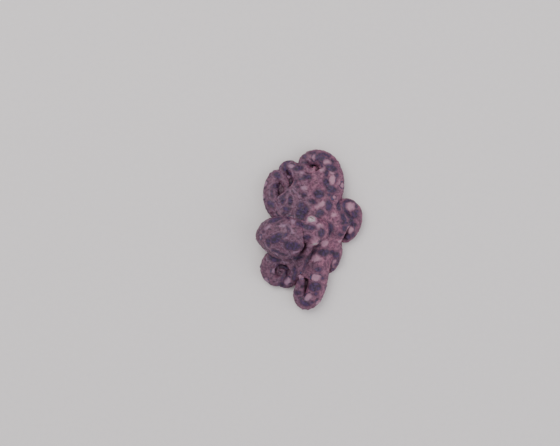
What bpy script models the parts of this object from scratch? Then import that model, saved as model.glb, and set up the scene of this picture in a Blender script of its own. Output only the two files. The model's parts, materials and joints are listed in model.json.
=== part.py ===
"""Greater blue-ringed octopus, life size, huddled on the floor with its arms curled round it.

Metres, +Z up. The head faces +X and the bag of the body lies towards -X. The origin is on the
floor, under the middle of the animal's plan. Sizes below are in millimetres until a mesh is made.
"""

import math
import random

import bmesh
import bpy
import numpy as np
from mathutils import Matrix, Vector
from mathutils.kdtree import KDTree

MM = 0.001
GAP = 0.3  # space kept between neighbouring pieces
TOUCH = 0.001  # unjoined corners of a piece that lie this near are touching
APART = 0.004  # how far each of them is then drawn back
FLOOR_SNAP = 0.15  # a sucker's rim this near the floor is set down on it
ANIMAL = "blue_ringed_octopus"

# Arms. A route runs from inside the crown to the tip, as (x, y, lift above lying on the floor).
ARM_SIDES = 10
ARM_FLATNESS = 0.86  # depth of the sucker side as a share of the arm's radius
ARM_STEP = 1.6  # spacing of the arm's sections
LINE_STEP = 0.4  # spacing of the points that an arm's middle line is kept as
SPAN_POINTS = 24  # fine points between two given ones, before a line is spaced out evenly
BEND_WINDOW = 5  # points over which a line's bend is averaged
TIP_RADIUS = 0.35
TAPER_POWER = 0.8  # how soon the radius falls once an arm starts to thin
ROOM_SQUARENESS = 0.2  # power that squares off the underside of the room kept round an arm
BEND_ROOM = 0.78  # share of a bend's radius that the arm may fill on its inner side
BEND_LIMIT = 0.96  # the same share for the room kept round an arm
ARMS = {
    "arm_left_1": {
        "base_radius": 4.2,
        "fullness": 2.4,
        "root": 14.5,
        "route": [
            (2.9, 0.2, 1.6), (5.5, 1.3, 1.2), (8.4, 3.4, 0.5), (10.7, 5.9, 0), (12.9, 8.3, 0),
            (15.5, 9.3, 0), (17.9, 8.1, 0), (18.9, 5.2, 0), (18.5, 1.5, 0), (17.1, -1.9, 0),
            (14.9, -4.0, 0), (12.6, -3.4, 0), (12.8, -1.5, 0.3),
        ],
    },
    "arm_left_2": {
        "base_radius": 4.6,
        "fullness": 3.3,
        "root": 16.0,
        "route": [
            (2.5, 1.1, 1.6), (4.0, 4.0, 1.2), (6.1, 8.0, 0.5), (8.2, 12.4, 0), (9.7, 17.0, 0),
            (9.9, 22.1, 0), (8.4, 26.7, 0), (5.2, 29.7, 0), (1.3, 30.3, 0), (-1.6, 29.1, 0),
            (-2.4, 26.9, 1.0), (-0.8, 25.1, 3.4), (1.3, 25.0, 4.8), (2.1, 26.5, 5.2),
        ],
    },
    "arm_left_3": {
        "base_radius": 4.4,
        "fullness": 2.4,
        "root": 15.0,
        "route": [
            (1.9, 1.3, 1.6), (1.3, 5.2, 1.0), (0.4, 10.3, 0.2), (-0.6, 15.3, 0), (-2.9, 20.2, 0),
            (-5.7, 24.4, 0), (-8.5, 26.6, 0), (-10.9, 25.7, 0), (-11.3, 23.1, 0.8), (-9.4, 21.8, 2.0),
            (-8.0, 22.7, 3.0),
        ],
    },
    "arm_left_4": {
        "base_radius": 4.2,
        "fullness": 2.2,
        "root": 14.5,
        "route": [
            (0.4, 1.1, 1.2), (-2.9, 2.9, 0.6), (-7.2, 4.6, 0), (-12.1, 6.9, 0), (-15.4, 10.6, 0),
            (-16.4, 15.8, 0), (-15.5, 20.8, 0), (-13.5, 22.9, 0.4), (-11.1, 20.8, 2.2),
            (-9.8, 17.4, 3.8), (-10.7, 14.9, 4.8),
        ],
    },
    "arm_right_4": {
        "base_radius": 4.1,
        "fullness": 2.4,
        "root": 14.0,
        "route": [
            (0.4, -1.7, 1.2), (-2.3, -4.2, 0.6), (-5.7, -7.3, 0), (-10.2, -10.0, 0), (-15.1, -11.9, 0),
            (-17.7, -15.6, 0), (-16.9, -19.8, 0), (-13.9, -21.8, 0), (-11.2, -20.2, 0.4),
            (-11.2, -17.4, 1.4), (-12.9, -16.9, 2.2),
        ],
    },
    "arm_right_3": {
        "base_radius": 4.0,
        "fullness": 2.8,
        "root": 13.5,
        "route": [
            (1.5, -2.3, 1.6), (0.0, -6.1, 0.8), (-2.0, -10.5, 0.1), (-3.8, -14.9, 0), (-5.7, -18.9, 0),
            (-8.0, -21.8, 0), (-10.5, -23.4, 0), (-13.0, -23.6, 0),
        ],
    },
    "arm_right_2": {
        "base_radius": 4.5,
        "fullness": 2.8,
        "root": 14.5,
        "route": [
            (2.9, -1.9, 1.6), (4.8, -5.7, 1.0), (5.0, -10.3, 0.3), (4.0, -15.3, 0), (3.4, -20.4, 0),
            (2.5, -25.4, 0), (0.6, -29.5, 0), (-2.2, -30.7, 0), (-4.3, -28.3, 0.3), (-4.4, -24.6, 3.0),
            (-3.6, -21.2, 6.0), (-4.4, -19.1, 7.2),
        ],
    },
    "arm_right_1": {
        "base_radius": 4.0,
        "fullness": 2.6,
        "root": 12.5,
        "route": [
            (3.1, -1.3, 1.6), (6.3, -2.7, 1.0), (9.0, -5.2, 0.2), (10.3, -9.0, 0), (10.1, -12.8, 0),
            (9.2, -16.2, 0), (8.2, -18.4, 0),
        ],
    },
}
LENGTH_NAMES = ("near", "middle", "tip")
LENGTH_ENDS = (0.0, 0.38, 0.70, 1.0)  # shares of an arm beyond its root

TO_MIDDLE = (0.35, 0.15)  # brings the middle of the finished plan over the origin

# Suckers, in two rows. All but the count of sides are shares of the arm's radius at each one.
SUCKER_SIDES = 6
SUCKER_RADIUS = 0.28
SUCKER_STEP = 0.42
SUCKER_OFFSET = 0.42
SUCKER_RISE = 0.15  # from the lowest line of the arm to the rim
SUCKER_ROOT = 0.5  # depth from the arm's centre at which a sucker starts
SUCKER_CUP = 0.2
SUCKER_NECK, SUCKER_MOUTH = 0.75, 0.6  # radii where it starts and of its cup, as shares of its own
SUCKER_SIZES = (0.92, 1.06)  # range of the sizes
SUCKER_SPACES = (0.95, 1.05)  # range of the steps
SUCKER_FIRST = 5.5  # distance of an arm's first sucker from where its route starts
SUCKER_LEAST_STEP = 0.6
SUCKER_CLEAR = 1.15  # share of its own radius that a sucker keeps from a cut
CUT_NEAR = 4  # a cut further off than this many of its radii is not looked at
SEED = 8

# Crown: the disc where the arms, the web and the mouth meet
CROWN_CENTRE = (1.6, -0.5)
CROWN_RADIUS = 8.4
CROWN_MIDDLE = 5.2
CROWN_HALF_HEIGHT = 3.4
CROWN_SEGMENTS = 20
LIP_RADIUS, LIP_THICKNESS = 1.7, 0.5
LIP_SINK = 0.2  # how far the lip's ring lies inside the crown's underside
MOUTH_SHARE = 0.62  # radius of the mouth as a share of the lip's
MOUTH_SHIFT = (0.04, 0.07)  # from the middle of the crown
MOUTH_DEPTH = 1.6

# Webs: two neighbours, how far along each the web reaches, and how much its margin draws in
WEB_THICKNESS = 1.4  # where it leaves the crown
WEB_EDGE_SHARE = 0.5  # thickness of its margin as a share of that
WEB_LIFT = 0.5  # height above an arm's middle line at which it joins, as a share of the arm's radius
WEB_RISE = 0.6  # how far its margin bellies up between the arms
WEB_OVERLAP = 0.7  # where it ends inside a joined root, as a share of the arm's radius
WEB_LEAVES = 4.0  # how far before the root's end it comes out of the arm, to run on beside it
WEB_BESIDE = 0.93  # where it runs beside the arm, as the same share
WEB_CLEARANCE = 1.4  # how many gaps it keeps from the arm there
WEB_CELLS = (6, 7)  # across and along
WEBS = [
    ("arm_left_1", "arm_left_2", 14.0, 14.5, 0.12),
    ("arm_left_2", "arm_left_3", 28.0, 24.5, 0.05),
    ("arm_left_3", "arm_left_4", 23.0, 20.5, 0.05),
    ("arm_left_4", "arm_right_4", 8.0, 8.0, 0.2),
    ("arm_right_4", "arm_right_3", 20.4, 18.6, 0.07),
    ("arm_right_3", "arm_right_2", 20.6, 21.4, 0.07),
    ("arm_right_2", "arm_right_1", 13.0, 12.5, 0.14),
    ("arm_right_1", "arm_left_1", 13.0, 22.0, 0.03),
]

# Head and body share an axis through the middle of the head, turned a little to the left
MIDDLE = (0.9, -0.5)
TURN = math.radians(7)
FORWARD = (math.cos(TURN), math.sin(TURN))
LEFTWARD = (-math.sin(TURN), math.cos(TURN))

# Body bag: sections behind the middle of the head, from the collar to the hind end, as
# (distance back, half width, half height, height of its centre, shift to the left)
BAG_SIDES = 22
BAG_STEP = 1.7  # spacing of the finished sections
BAG_STATIONS = [
    (4.3, 5.4, 4.6, 12.3, -0.6), (6.0, 6.9, 6.0, 11.7, -1.1), (9.4, 8.6, 7.5, 10.3, -1.6),
    (13.4, 9.1, 8.1, 8.7, -1.5), (17.4, 8.1, 7.5, 7.2, -0.8), (20.8, 5.5, 5.5, 6.1, -0.1),
    (23.0, 2.6, 2.9, 5.9, 0.2), (23.7, 1.0, 1.1, 5.8, 0.2),
]

# Head: sections as (distance forward, half width, half height, height of its centre)
HEAD_SIDES = 16
HEAD_STEP = 1.3
HEAD_STATIONS = [
    (-3.9, 4.7, 4.0, 12.2), (-1.9, 4.9, 4.2, 12.1), (0.6, 5.3, 4.4, 11.7), (3.1, 5.0, 4.4, 10.7),
    (5.3, 3.9, 3.9, 9.4), (6.9, 2.2, 2.6, 8.2), (7.6, 0.8, 1.0, 7.6),
]

# Eyes, each on a low turret on its side of the head
EYE_RADIUS = 1.9
EYE_HEIGHT = 13.9
EYE_FORWARD = 0.1
EYE_OFFSET = 4.3  # from the head's middle line
TURRET_RADIUS = 2.75
TURRET_SINK = 0.9
LID_FORWARD = 0.52  # how far ahead of the eye's centre its lid lies, as a share of the eye's radius
LID_RADIUS = 0.98  # of the lid's ring, as a share of the same
LID_THICKNESS = 0.34
EYE_LOOKS = {1: (0.06, 0.62, 0.78), -1: (0.12, 0.92, 0.36)}  # gaze of the left and the right eye,
# as shares forward, outwards and up; the left one is rolled up to face whoever looks from above

# Siphon, on the right under the collar: centre as (forward, left, height), and radius
SIPHON_ROUTE = [(-1.0, -4.4, 9.4), (-2.6, -7.2, 9.2), (-4.2, -9.6, 8.9)]
SIPHON_RADII = (1.9, 1.6, 1.25)
SIPHON_SIDES = 12
SIPHON_BORE = 0.7
BORE_END = 0.3  # radius of the bore's inner end as a share of its mouth's
BORE_PAST = 0.4  # how far the bore's cutter stands out of the mouth

BALL_SEGMENTS, BALL_RINGS = 16, 10
HOOP_TURNS, HOOP_SIDES = 14, 6

COLOURS = {
    "skin": (0.36, 0.24, 0.13),
    "web": (0.33, 0.21, 0.13),
    "eye": (0.42, 0.34, 0.16),
}


def clear_scene():
    """Empty the file of objects."""
    for obj in list(bpy.data.objects):
        bpy.data.objects.remove(obj)


def collection(name):
    """A collection under the scene's own."""
    made = bpy.data.collections.new(name)
    bpy.context.scene.collection.children.link(made)
    return made


def finish(name, roughness=0.45):
    """A plain material in one of the animal's colours."""
    made = bpy.data.materials.new(name)
    made.use_nodes = True
    shader = made.node_tree.nodes["Principled BSDF"]
    shader.inputs["Base Color"].default_value = (*COLOURS[name], 1.0)
    shader.inputs["Roughness"].default_value = roughness
    return made


def unit(v):
    """The vector at length one."""
    return v / np.linalg.norm(v)


def smooth_line(points, step):
    """Points about a step apart on a Catmull-Rom curve through the given ones."""
    p = np.array(points, float)
    p = np.vstack([2 * p[0] - p[1], p, 2 * p[-1] - p[-2]])
    fine = []
    for a, b, c, d in zip(p, p[1:], p[2:], p[3:]):
        for t in np.linspace(0, 1, SPAN_POINTS, endpoint=False):
            fine.append(0.5 * (2 * b + (c - a) * t + (2 * a - 5 * b + 4 * c - d) * t**2
                               + (3 * b - a - 3 * c + d) * t**3))
    fine = np.array([*fine, p[-2]])
    run = np.concatenate([[0], np.cumsum(np.linalg.norm(np.diff(fine[:, :2], axis=0), axis=1))])
    count = max(4, round(run[-1] / step) + 1)
    at = np.linspace(0, run[-1], count)
    return np.stack([np.interp(at, run, fine[:, k]) for k in range(fine.shape[1])], axis=1)


def body_point(forward, left, height):
    """A place given along the body's axis, to its left and above the floor."""
    x = MIDDLE[0] + FORWARD[0] * forward + LEFTWARD[0] * left
    y = MIDDLE[1] + FORWARD[1] * forward + LEFTWARD[1] * left
    return np.array([x, y, height])


class ArmLine:
    """An arm's centre line, with its radius, its bends and the direction of its sucker side."""

    def __init__(self, arm):
        """Lay the arm along its route, and carry its sucker side from facing the floor."""
        line = smooth_line(arm["route"], LINE_STEP)
        self.base, self.fullness, self.root = arm["base_radius"], arm["fullness"], arm["root"]
        radius = self.radius_at_share(np.linspace(0, 1, len(line)))
        rest = radius * (ARM_FLATNESS + SUCKER_RISE)
        self.radii = radius
        self.points = np.column_stack([line[:, 0], line[:, 1], rest + line[:, 2]])
        steps = np.linalg.norm(np.diff(self.points, axis=0), axis=1)
        self.run = np.concatenate([[0], np.cumsum(steps)])
        self.length = self.run[-1]
        self.tangents = np.array([unit(v) for v in np.gradient(self.points, self.run, axis=0)])
        bend = np.gradient(self.tangents, self.run, axis=0)
        window = np.ones(BEND_WINDOW) / BEND_WINDOW
        self.bends = np.column_stack([np.convolve(bend[:, k], window, "same") for k in range(3)])
        oral = np.array([0.0, 0.0, -1.0])
        self.oral = []
        for tangent in self.tangents:
            oral = unit(oral - tangent * (oral @ tangent))
            self.oral.append(oral)
        self.oral = np.array(self.oral)

    def radius_at_share(self, share):
        """Radius at a share of the length: full for most of it, then drawn to a fine tip."""
        return TIP_RADIUS + (self.base - TIP_RADIUS) * (1 - share**self.fullness) ** TAPER_POWER

    def mix(self, values, run):
        """One of the line's rows of values, read at a length along the arm."""
        return np.array([np.interp(run, self.run, values[:, k]) for k in range(3)])

    def at(self, run):
        """Centre, sideways and sucker-side directions, bend and radius at a length along the arm."""
        tangent = unit(self.mix(self.tangents, run))
        oral = self.mix(self.oral, run)
        oral = unit(oral - tangent * (oral @ tangent))
        share = np.interp(run, self.run, np.linspace(0, 1, len(self.run)))
        radius = float(self.radius_at_share(share))
        return self.mix(self.points, run), np.cross(oral, tangent), oral, self.mix(self.bends, run), radius

    def ring(self, run, more=0.0, under=0.0):
        """One cross-section: round above, flatter on the sucker side, and creased inside a bend.

        With a depth under it the section is squared off below, to take the suckers in.
        """
        centre, side, oral, bend, radius = self.at(run)
        made = []
        for k in range(ARM_SIDES):
            turn = 2 * math.pi * (k + 0.5) / ARM_SIDES
            across, down = math.cos(turn), math.sin(turn)
            depth = ARM_FLATNESS * radius + under if down > 0 else radius
            if under and down > 0:
                down = down**ROOM_SQUARENESS
            spoke = side * across * (radius + more) + oral * down * (depth + more)
            inward = bend @ spoke
            most = BEND_LIMIT if more else BEND_ROOM
            if inward > most:
                spoke = spoke * (most / inward)
            made.append(centre + spoke)
        return made


def new_object(name, mesh, group, look=None):
    """An object for the mesh, in the group, with its material."""
    obj = bpy.data.objects.new(name, mesh)
    group.objects.link(obj)
    if look:
        mesh.materials.append(look)
    return obj


def loft(name, rings, group, look=None):
    """A closed solid through rings of equal count, given in millimetres."""
    shape = bmesh.new()
    loops = [[shape.verts.new(Vector((p[0], p[1], max(p[2], 0.0))) * MM) for p in ring] for ring in rings]
    count = len(loops[0])
    for a, b in zip(loops, loops[1:]):
        for i in range(count):
            j = (i + 1) % count
            shape.faces.new((a[i], a[j], b[j], b[i]))
    shape.faces.new(loops[0])
    shape.faces.new(loops[-1])
    bmesh.ops.recalc_face_normals(shape, faces=shape.faces)
    mesh = bpy.data.meshes.new(name)
    shape.to_mesh(mesh)
    shape.free()
    return new_object(name, mesh, group, look)


def ball(name, centre, radii, group, look=None, segments=BALL_SEGMENTS):
    """A sphere stretched to three radii, in millimetres."""
    shape = bmesh.new()
    bmesh.ops.create_uvsphere(shape, u_segments=segments, v_segments=BALL_RINGS, radius=MM)
    bmesh.ops.scale(shape, vec=Vector(radii), verts=shape.verts)
    bmesh.ops.translate(shape, vec=Vector(centre) * MM, verts=shape.verts)
    mesh = bpy.data.meshes.new(name)
    shape.to_mesh(mesh)
    shape.free()
    return new_object(name, mesh, group, look)


def hoop(name, centre, axis, radius, thickness, group):
    """A torus round an axis, as rings swept in a circle."""
    frame = Vector(axis).to_track_quat("Z", "Y").to_matrix()
    shape = bmesh.new()
    loops = []
    for i in range(HOOP_TURNS):
        turn = 2 * math.pi * i / HOOP_TURNS
        out = Vector((math.cos(turn), math.sin(turn), 0))
        loop = []
        for k in range(HOOP_SIDES):
            roll = 2 * math.pi * k / HOOP_SIDES
            place = out * (radius + thickness * math.cos(roll)) + Vector((0, 0, thickness * math.sin(roll)))
            loop.append(shape.verts.new((frame @ place + Vector(centre)) * MM))
        loops.append(loop)
    for a, b in zip(loops, loops[1:] + loops[:1]):
        for k in range(HOOP_SIDES):
            j = (k + 1) % HOOP_SIDES
            shape.faces.new((a[k], a[j], b[j], b[k]))
    bmesh.ops.recalc_face_normals(shape, faces=shape.faces)
    mesh = bpy.data.meshes.new(name)
    shape.to_mesh(mesh)
    shape.free()
    return new_object(name, mesh, group)


def boolean(obj, operation, others):
    """Join the others to the object, or cut them from it, and remove them."""
    group = bpy.data.collections.new("tools")
    for other in others:
        group.objects.link(other)
    step = obj.modifiers.new(operation.lower(), "BOOLEAN")
    step.operation = operation
    step.solver = "MANIFOLD"
    step.operand_type = "COLLECTION"
    step.collection = group
    graph = bpy.context.evaluated_depsgraph_get()
    mesh = bpy.data.meshes.new_from_object(obj.evaluated_get(graph))
    obj.modifiers.clear()
    obj.data = mesh
    for other in others:
        bpy.data.objects.remove(other)
    bpy.data.collections.remove(group)


def keep_largest(obj):
    """Keep only the largest closed surface of the object."""
    shape = bmesh.new()
    shape.from_mesh(obj.data)
    shape.faces.ensure_lookup_table()
    left, surfaces = set(shape.faces), []
    while left:
        todo, found = [left.pop()], []
        while todo:
            face = todo.pop()
            found.append(face)
            for edge in face.edges:
                for other in edge.link_faces:
                    if other in left:
                        left.discard(other)
                        todo.append(other)
        surfaces.append(found)
    surfaces.sort(key=lambda faces: sum(face.calc_area() for face in faces))
    small = [face for faces in surfaces[:-1] for face in faces]
    bmesh.ops.delete(shape, geom=small, context="FACES")
    loose = [vert for vert in shape.verts if not vert.link_faces]
    bmesh.ops.delete(shape, geom=loose, context="VERTS")
    shape.to_mesh(obj.data)
    shape.free()


def draw_apart(obj):
    """Draw back corners that touch without being joined, each towards its own neighbours."""
    shape = bmesh.new()
    shape.from_mesh(obj.data)
    shape.verts.ensure_lookup_table()
    finder = KDTree(len(shape.verts))
    for vert in shape.verts:
        finder.insert(vert.co, vert.index)
    finder.balance()
    middles, moves = [], {}
    for vert in shape.verts:
        around = [edge.other_vert(vert) for edge in vert.link_edges]
        middles.append(sum((other.co for other in around), Vector()) / len(around))
        near = {place for _, place, _ in finder.find_range(vert.co, TOUCH * MM)}
        near -= {vert.index, *(other.index for other in around)}
        if near:
            moves[vert.index] = min(near)
    for index, place in moves.items():
        away = (middles[index] - middles[place]).normalized()
        shape.verts[index].co += away * APART * MM
    shape.to_mesh(obj.data)
    shape.free()


def axis_rings(stations, sides, more):
    """Oval sections across the body's axis, as (forward, half width, half height, height, left)."""
    rings = []
    sense = math.copysign(1.0, stations[-1][0] - stations[0][0])
    ends = {0: -more * sense, len(stations) - 1: more * sense}
    for place, (forward, half_width, half_height, height, left) in enumerate(stations):
        forward += ends.get(place, 0.0)
        ring = []
        for k in range(sides):
            turn = 2 * math.pi * k / sides
            ring.append(body_point(forward, left + math.cos(turn) * (half_width + more),
                                   height + math.sin(turn) * (half_height + more)))
        rings.append(ring)
    return rings


def bag_rings(more=0.0):
    """Sections of the body bag, or of the room that it takes."""
    stations = smooth_line([(-back, left, w, h, z) for back, w, h, z, left in BAG_STATIONS], BAG_STEP)
    return axis_rings([(f, w, h, z, left) for f, left, w, h, z in stations], BAG_SIDES, more)


def head_rings(more=0.0):
    """Sections of the head from the neck to where its front slopes into the crown."""
    stations = smooth_line([(f, 0.0, w, h, z) for f, w, h, z in HEAD_STATIONS], HEAD_STEP)
    return axis_rings([(f, w, h, z, left) for f, left, w, h, z in stations], HEAD_SIDES, more)


def eye_place(side):
    """Centre and gaze of the eye on a side, +1 for left and -1 for right."""
    centre = body_point(EYE_FORWARD, EYE_OFFSET * side, EYE_HEIGHT)
    ahead, aside, up = EYE_LOOKS[side]
    return centre, unit(body_point(ahead, aside * side, up) - body_point(0.0, 0.0, 0.0))


def head_pieces(group, more=0.0):
    """The head's loft and the two turrets that the eyes sit in."""
    pieces = [loft("head_core", head_rings(more), group)]
    for side in (1, -1):
        centre, gaze = eye_place(side)
        radius = TURRET_RADIUS + more
        pieces.append(ball("turret", centre - gaze * TURRET_SINK, (radius, radius, radius), group))
    return pieces


def build_bag(group, look):
    """The body bag."""
    loft("mantle", bag_rings(), group, look)


def build_head(group, look):
    """The head, with a ringed lid round each eye and a socket for it."""
    core, *more = head_pieces(group)
    core.name = "head"
    core.data.materials.append(look)
    sockets = []
    for side in (1, -1):
        centre, gaze = eye_place(side)
        rim = centre + gaze * EYE_RADIUS * LID_FORWARD
        more.append(hoop("lid", rim, gaze, EYE_RADIUS * LID_RADIUS, LID_THICKNESS, group))
        sockets.append(ball("socket", centre, (EYE_RADIUS + GAP,) * 3, group))
    boolean(core, "UNION", more)
    boolean(core, "DIFFERENCE", sockets)
    keep_largest(core)


def build_eyes(group, look):
    """The eyeballs."""
    for side, name in ((1, "eye_left"), (-1, "eye_right")):
        centre, _ = eye_place(side)
        ball(name, centre, (EYE_RADIUS,) * 3, group, look)


def siphon_rings(radii, more=0.0, stretch=0.0):
    """Sections of the siphon's tube."""
    route = [body_point(*p) for p in SIPHON_ROUTE]
    rings = []
    for place, (centre, radius) in enumerate(zip(route, radii)):
        tangent = unit(route[min(place + 1, 2)] - route[max(place - 1, 0)])
        side = unit(np.cross(tangent, (0, 0, 1)))
        up = np.cross(side, tangent)
        end = {0: -stretch, 2: stretch}.get(place, 0.0)
        rings.append([centre + tangent * end + (side * math.cos(t) + up * math.sin(t)) * (radius + more)
                      for t in np.linspace(0, 2 * math.pi, SIPHON_SIDES, endpoint=False)])
    return rings


def build_siphon(group, look):
    """The siphon, hollow at its mouth, cut clear of the head."""
    tube = loft("siphon", siphon_rings(SIPHON_RADII), group, look)
    bore_radii = (SIPHON_BORE, SIPHON_BORE * BORE_END, SIPHON_BORE)
    bore = loft("bore", siphon_rings(bore_radii, stretch=BORE_PAST)[1:], group)
    cutters = [bore, *head_pieces(group, GAP), loft("bag_room", bag_rings(GAP), group)]
    for cutter in cutters:
        boolean(tube, "DIFFERENCE", [cutter])
    keep_largest(tube)


def runs(start, end):
    """Evenly spaced lengths from start to end, about a section's spacing apart."""
    count = max(2, round((end - start) / ARM_STEP) + 1)
    return np.linspace(start, end, count)


def web_edge(line, toward, run):
    """Where a web meets an arm: inside its joined root at first, and then just clear of it."""
    centre, _, _, _, radius = line.at(run)
    away = toward - centre
    away[2] = 0.0
    beside = radius * WEB_BESIDE + GAP * WEB_CLEARANCE
    reach = radius * WEB_OVERLAP if run < line.root - WEB_LEAVES else beside
    return centre + unit(away) * reach + np.array([0.0, 0.0, radius * WEB_LIFT])


def web_panel(name, lines, web, group, more=0.0):
    """The web between two neighbouring arms: a thin curved sheet with a drawn-in margin.

    With more, it is the room that the web takes, wider by that much all round.
    """
    a, b, reach_a, reach_b, notch = web
    a, b = lines[a], lines[b]
    across, along = WEB_CELLS
    top, under = [], []
    for i in range(along + 1):
        for j in range(across + 1):
            share = j / across
            out = i / along * (1 - notch * 4 * share * (1 - share))
            run_a, run_b = reach_a * out + more * i / along, reach_b * out + more * i / along
            pa, pb = a.at(run_a)[0], b.at(run_b)[0]
            start, end = web_edge(a, pb, run_a), web_edge(b, pa, run_b)
            wider = unit(end - start) * more
            start, end = start - wider, end + wider
            place = start + (end - start) * share
            place[2] += WEB_RISE * math.sin(math.pi * share) * i / along
            thick = WEB_THICKNESS * (1 - (1 - WEB_EDGE_SHARE) * i / along) / 2 + more
            top.append(place + (0, 0, thick))
            under.append(place - (0, 0, thick))
    shape = bmesh.new()
    upper = [shape.verts.new(Vector(p) * MM) for p in top]
    lower = [shape.verts.new(Vector(p) * MM) for p in under]
    row = across + 1
    for i in range(along):
        for j in range(across):
            q = (i * row + j, i * row + j + 1, (i + 1) * row + j + 1, (i + 1) * row + j)
            for sheet, order in ((upper, 1), (lower, -1)):
                for corners in ((q[0], q[1], q[2]), (q[0], q[2], q[3])):
                    shape.faces.new([sheet[c] for c in corners[::order]])
    rim = list(range(row)) + [i * row + across for i in range(1, along + 1)]
    rim += [along * row + j for j in range(across - 1, -1, -1)] + [i * row for i in range(along - 1, 0, -1)]
    for p, q in zip(rim, rim[1:] + rim[:1]):
        shape.faces.new((upper[p], upper[q], lower[q], lower[p]))
    bmesh.ops.recalc_face_normals(shape, faces=shape.faces)
    mesh = bpy.data.meshes.new(name)
    shape.to_mesh(mesh)
    shape.free()
    return new_object(name, mesh, group)


def sucker_stations(line):
    """Places of an arm's suckers, as (length along it, side, size), row by row in turn."""
    draw = random.Random(f"{SEED} {line.base} {line.length:.3f}")
    run, side, made = SUCKER_FIRST, 1, []
    while True:
        radius = line.at(run)[-1]
        if run + radius * SUCKER_RADIUS > line.length:
            return made
        made.append((run, side, draw.uniform(*SUCKER_SIZES)))
        run += max(SUCKER_STEP * radius, SUCKER_LEAST_STEP) * draw.uniform(*SUCKER_SPACES)
        side = -side


def crowded(place, wide, line, lines):
    """Whether a sucker would press into another arm, beyond its own size and the gap."""
    for other in lines.values():
        if other is line:
            continue
        away = np.linalg.norm(other.points - place, axis=1) - other.radii
        if away.min() < wide + GAP:
            return True
    return False


def stands_whole(foot, run, wide, line, start, end):
    """Whether a sucker keeps clear of the cuts at both ends of its stretch of the arm."""
    for cut, sense in ((start, 1), (end, -1)):
        if (run - cut) * sense < wide:
            return False
        centre, sideways, oral, _, _ = line.at(cut)
        clear = (foot - centre) @ np.cross(sideways, oral) * sense
        if abs(run - cut) < CUT_NEAR * wide and clear < wide * SUCKER_CLEAR:
            return False
    return True


def suckers(name, line, lines, start, end, group):
    """The suckers that stand whole on a stretch of an arm, as one mesh of many closed cups."""
    shape = bmesh.new()
    for run, side, size in sucker_stations(line):
        centre, sideways, oral, bend, radius = line.at(run)
        wide = SUCKER_RADIUS * radius * size
        ahead = np.cross(sideways, oral)
        offset = SUCKER_OFFSET * radius
        inward = bend @ sideways * side
        if inward * (offset + wide) > BEND_ROOM:
            offset = BEND_ROOM / inward - wide
        foot = centre + sideways * side * offset
        rim = radius * (ARM_FLATNESS + SUCKER_RISE)
        if offset < 0 or not stands_whole(foot, run, wide, line, start, end):
            continue
        if crowded(foot + oral * rim, wide, line, lines):
            continue
        levels = ((SUCKER_ROOT * radius, SUCKER_NECK * wide), (rim, wide), (rim, SUCKER_MOUTH * wide))
        loops = []
        for depth, reach in levels:
            loop = []
            for k in range(SUCKER_SIDES):
                turn = 2 * math.pi * k / SUCKER_SIDES
                place = foot + oral * depth + (sideways * math.cos(turn) + ahead * math.sin(turn)) * reach
                if place[2] < FLOOR_SNAP and depth == rim:
                    place[2] = 0.0
                loop.append(shape.verts.new(Vector(place) * MM))
            loops.append(loop)
        cup = shape.verts.new(Vector(foot + oral * (rim - SUCKER_CUP * radius)) * MM)
        shape.faces.new(loops[0])
        for k in range(SUCKER_SIDES):
            j = (k + 1) % SUCKER_SIDES
            for lower, upper in zip(loops, loops[1:]):
                shape.faces.new((lower[k], lower[j], upper[j], upper[k]))
            shape.faces.new((loops[-1][k], loops[-1][j], cup))
    if not shape.verts:
        shape.free()
        return None
    bmesh.ops.recalc_face_normals(shape, faces=shape.faces)
    mesh = bpy.data.meshes.new(name)
    shape.to_mesh(mesh)
    shape.free()
    return new_object(name, mesh, group)


def build_crown(lines, group, look):
    """The disc under the head: the joined arm roots, the web between them, and the mouth."""
    centre = (*CROWN_CENTRE, CROWN_MIDDLE)
    radii = (CROWN_RADIUS, CROWN_RADIUS, CROWN_HALF_HEIGHT)
    crown = ball("arm_crown", centre, radii, group, look, CROWN_SEGMENTS)
    floor = CROWN_MIDDLE - CROWN_HALF_HEIGHT
    pieces = [hoop("lip", (*CROWN_CENTRE, floor + LIP_SINK), (0, 0, 1), LIP_RADIUS, LIP_THICKNESS, group)]
    for line in lines.values():
        pieces.append(loft("root", [line.ring(run) for run in runs(0.0, line.root)], group))
        pieces.append(suckers("root_suckers", line, lines, 0.0, line.root - GAP, group))
    pieces += [web_panel("panel", lines, web, group) for web in WEBS]
    for piece in pieces:
        boolean(crown, "UNION", [piece])
    mouth_radius = LIP_RADIUS * MOUTH_SHARE
    mouth_place = (CROWN_CENTRE[0] + MOUTH_SHIFT[0], CROWN_CENTRE[1] + MOUTH_SHIFT[1], floor)
    cutters = [ball("mouth", mouth_place, (mouth_radius, mouth_radius, MOUTH_DEPTH), group)]
    cutters += [*head_pieces(group, GAP), loft("bag_room", bag_rings(GAP), group)]
    cutters.append(loft("siphon_room", siphon_rings(SIPHON_RADII, GAP, GAP), group))
    for cutter in cutters:
        boolean(crown, "DIFFERENCE", [cutter])
    keep_largest(crown)
    draw_apart(crown)


def room_of(line, start, end, group):
    """The space that a stretch of an arm and its suckers take, a gap wider all round."""
    rise = SUCKER_RISE * line.base
    return loft("arm_room", [line.ring(run, GAP, rise) for run in runs(start, end)], group)


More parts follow.
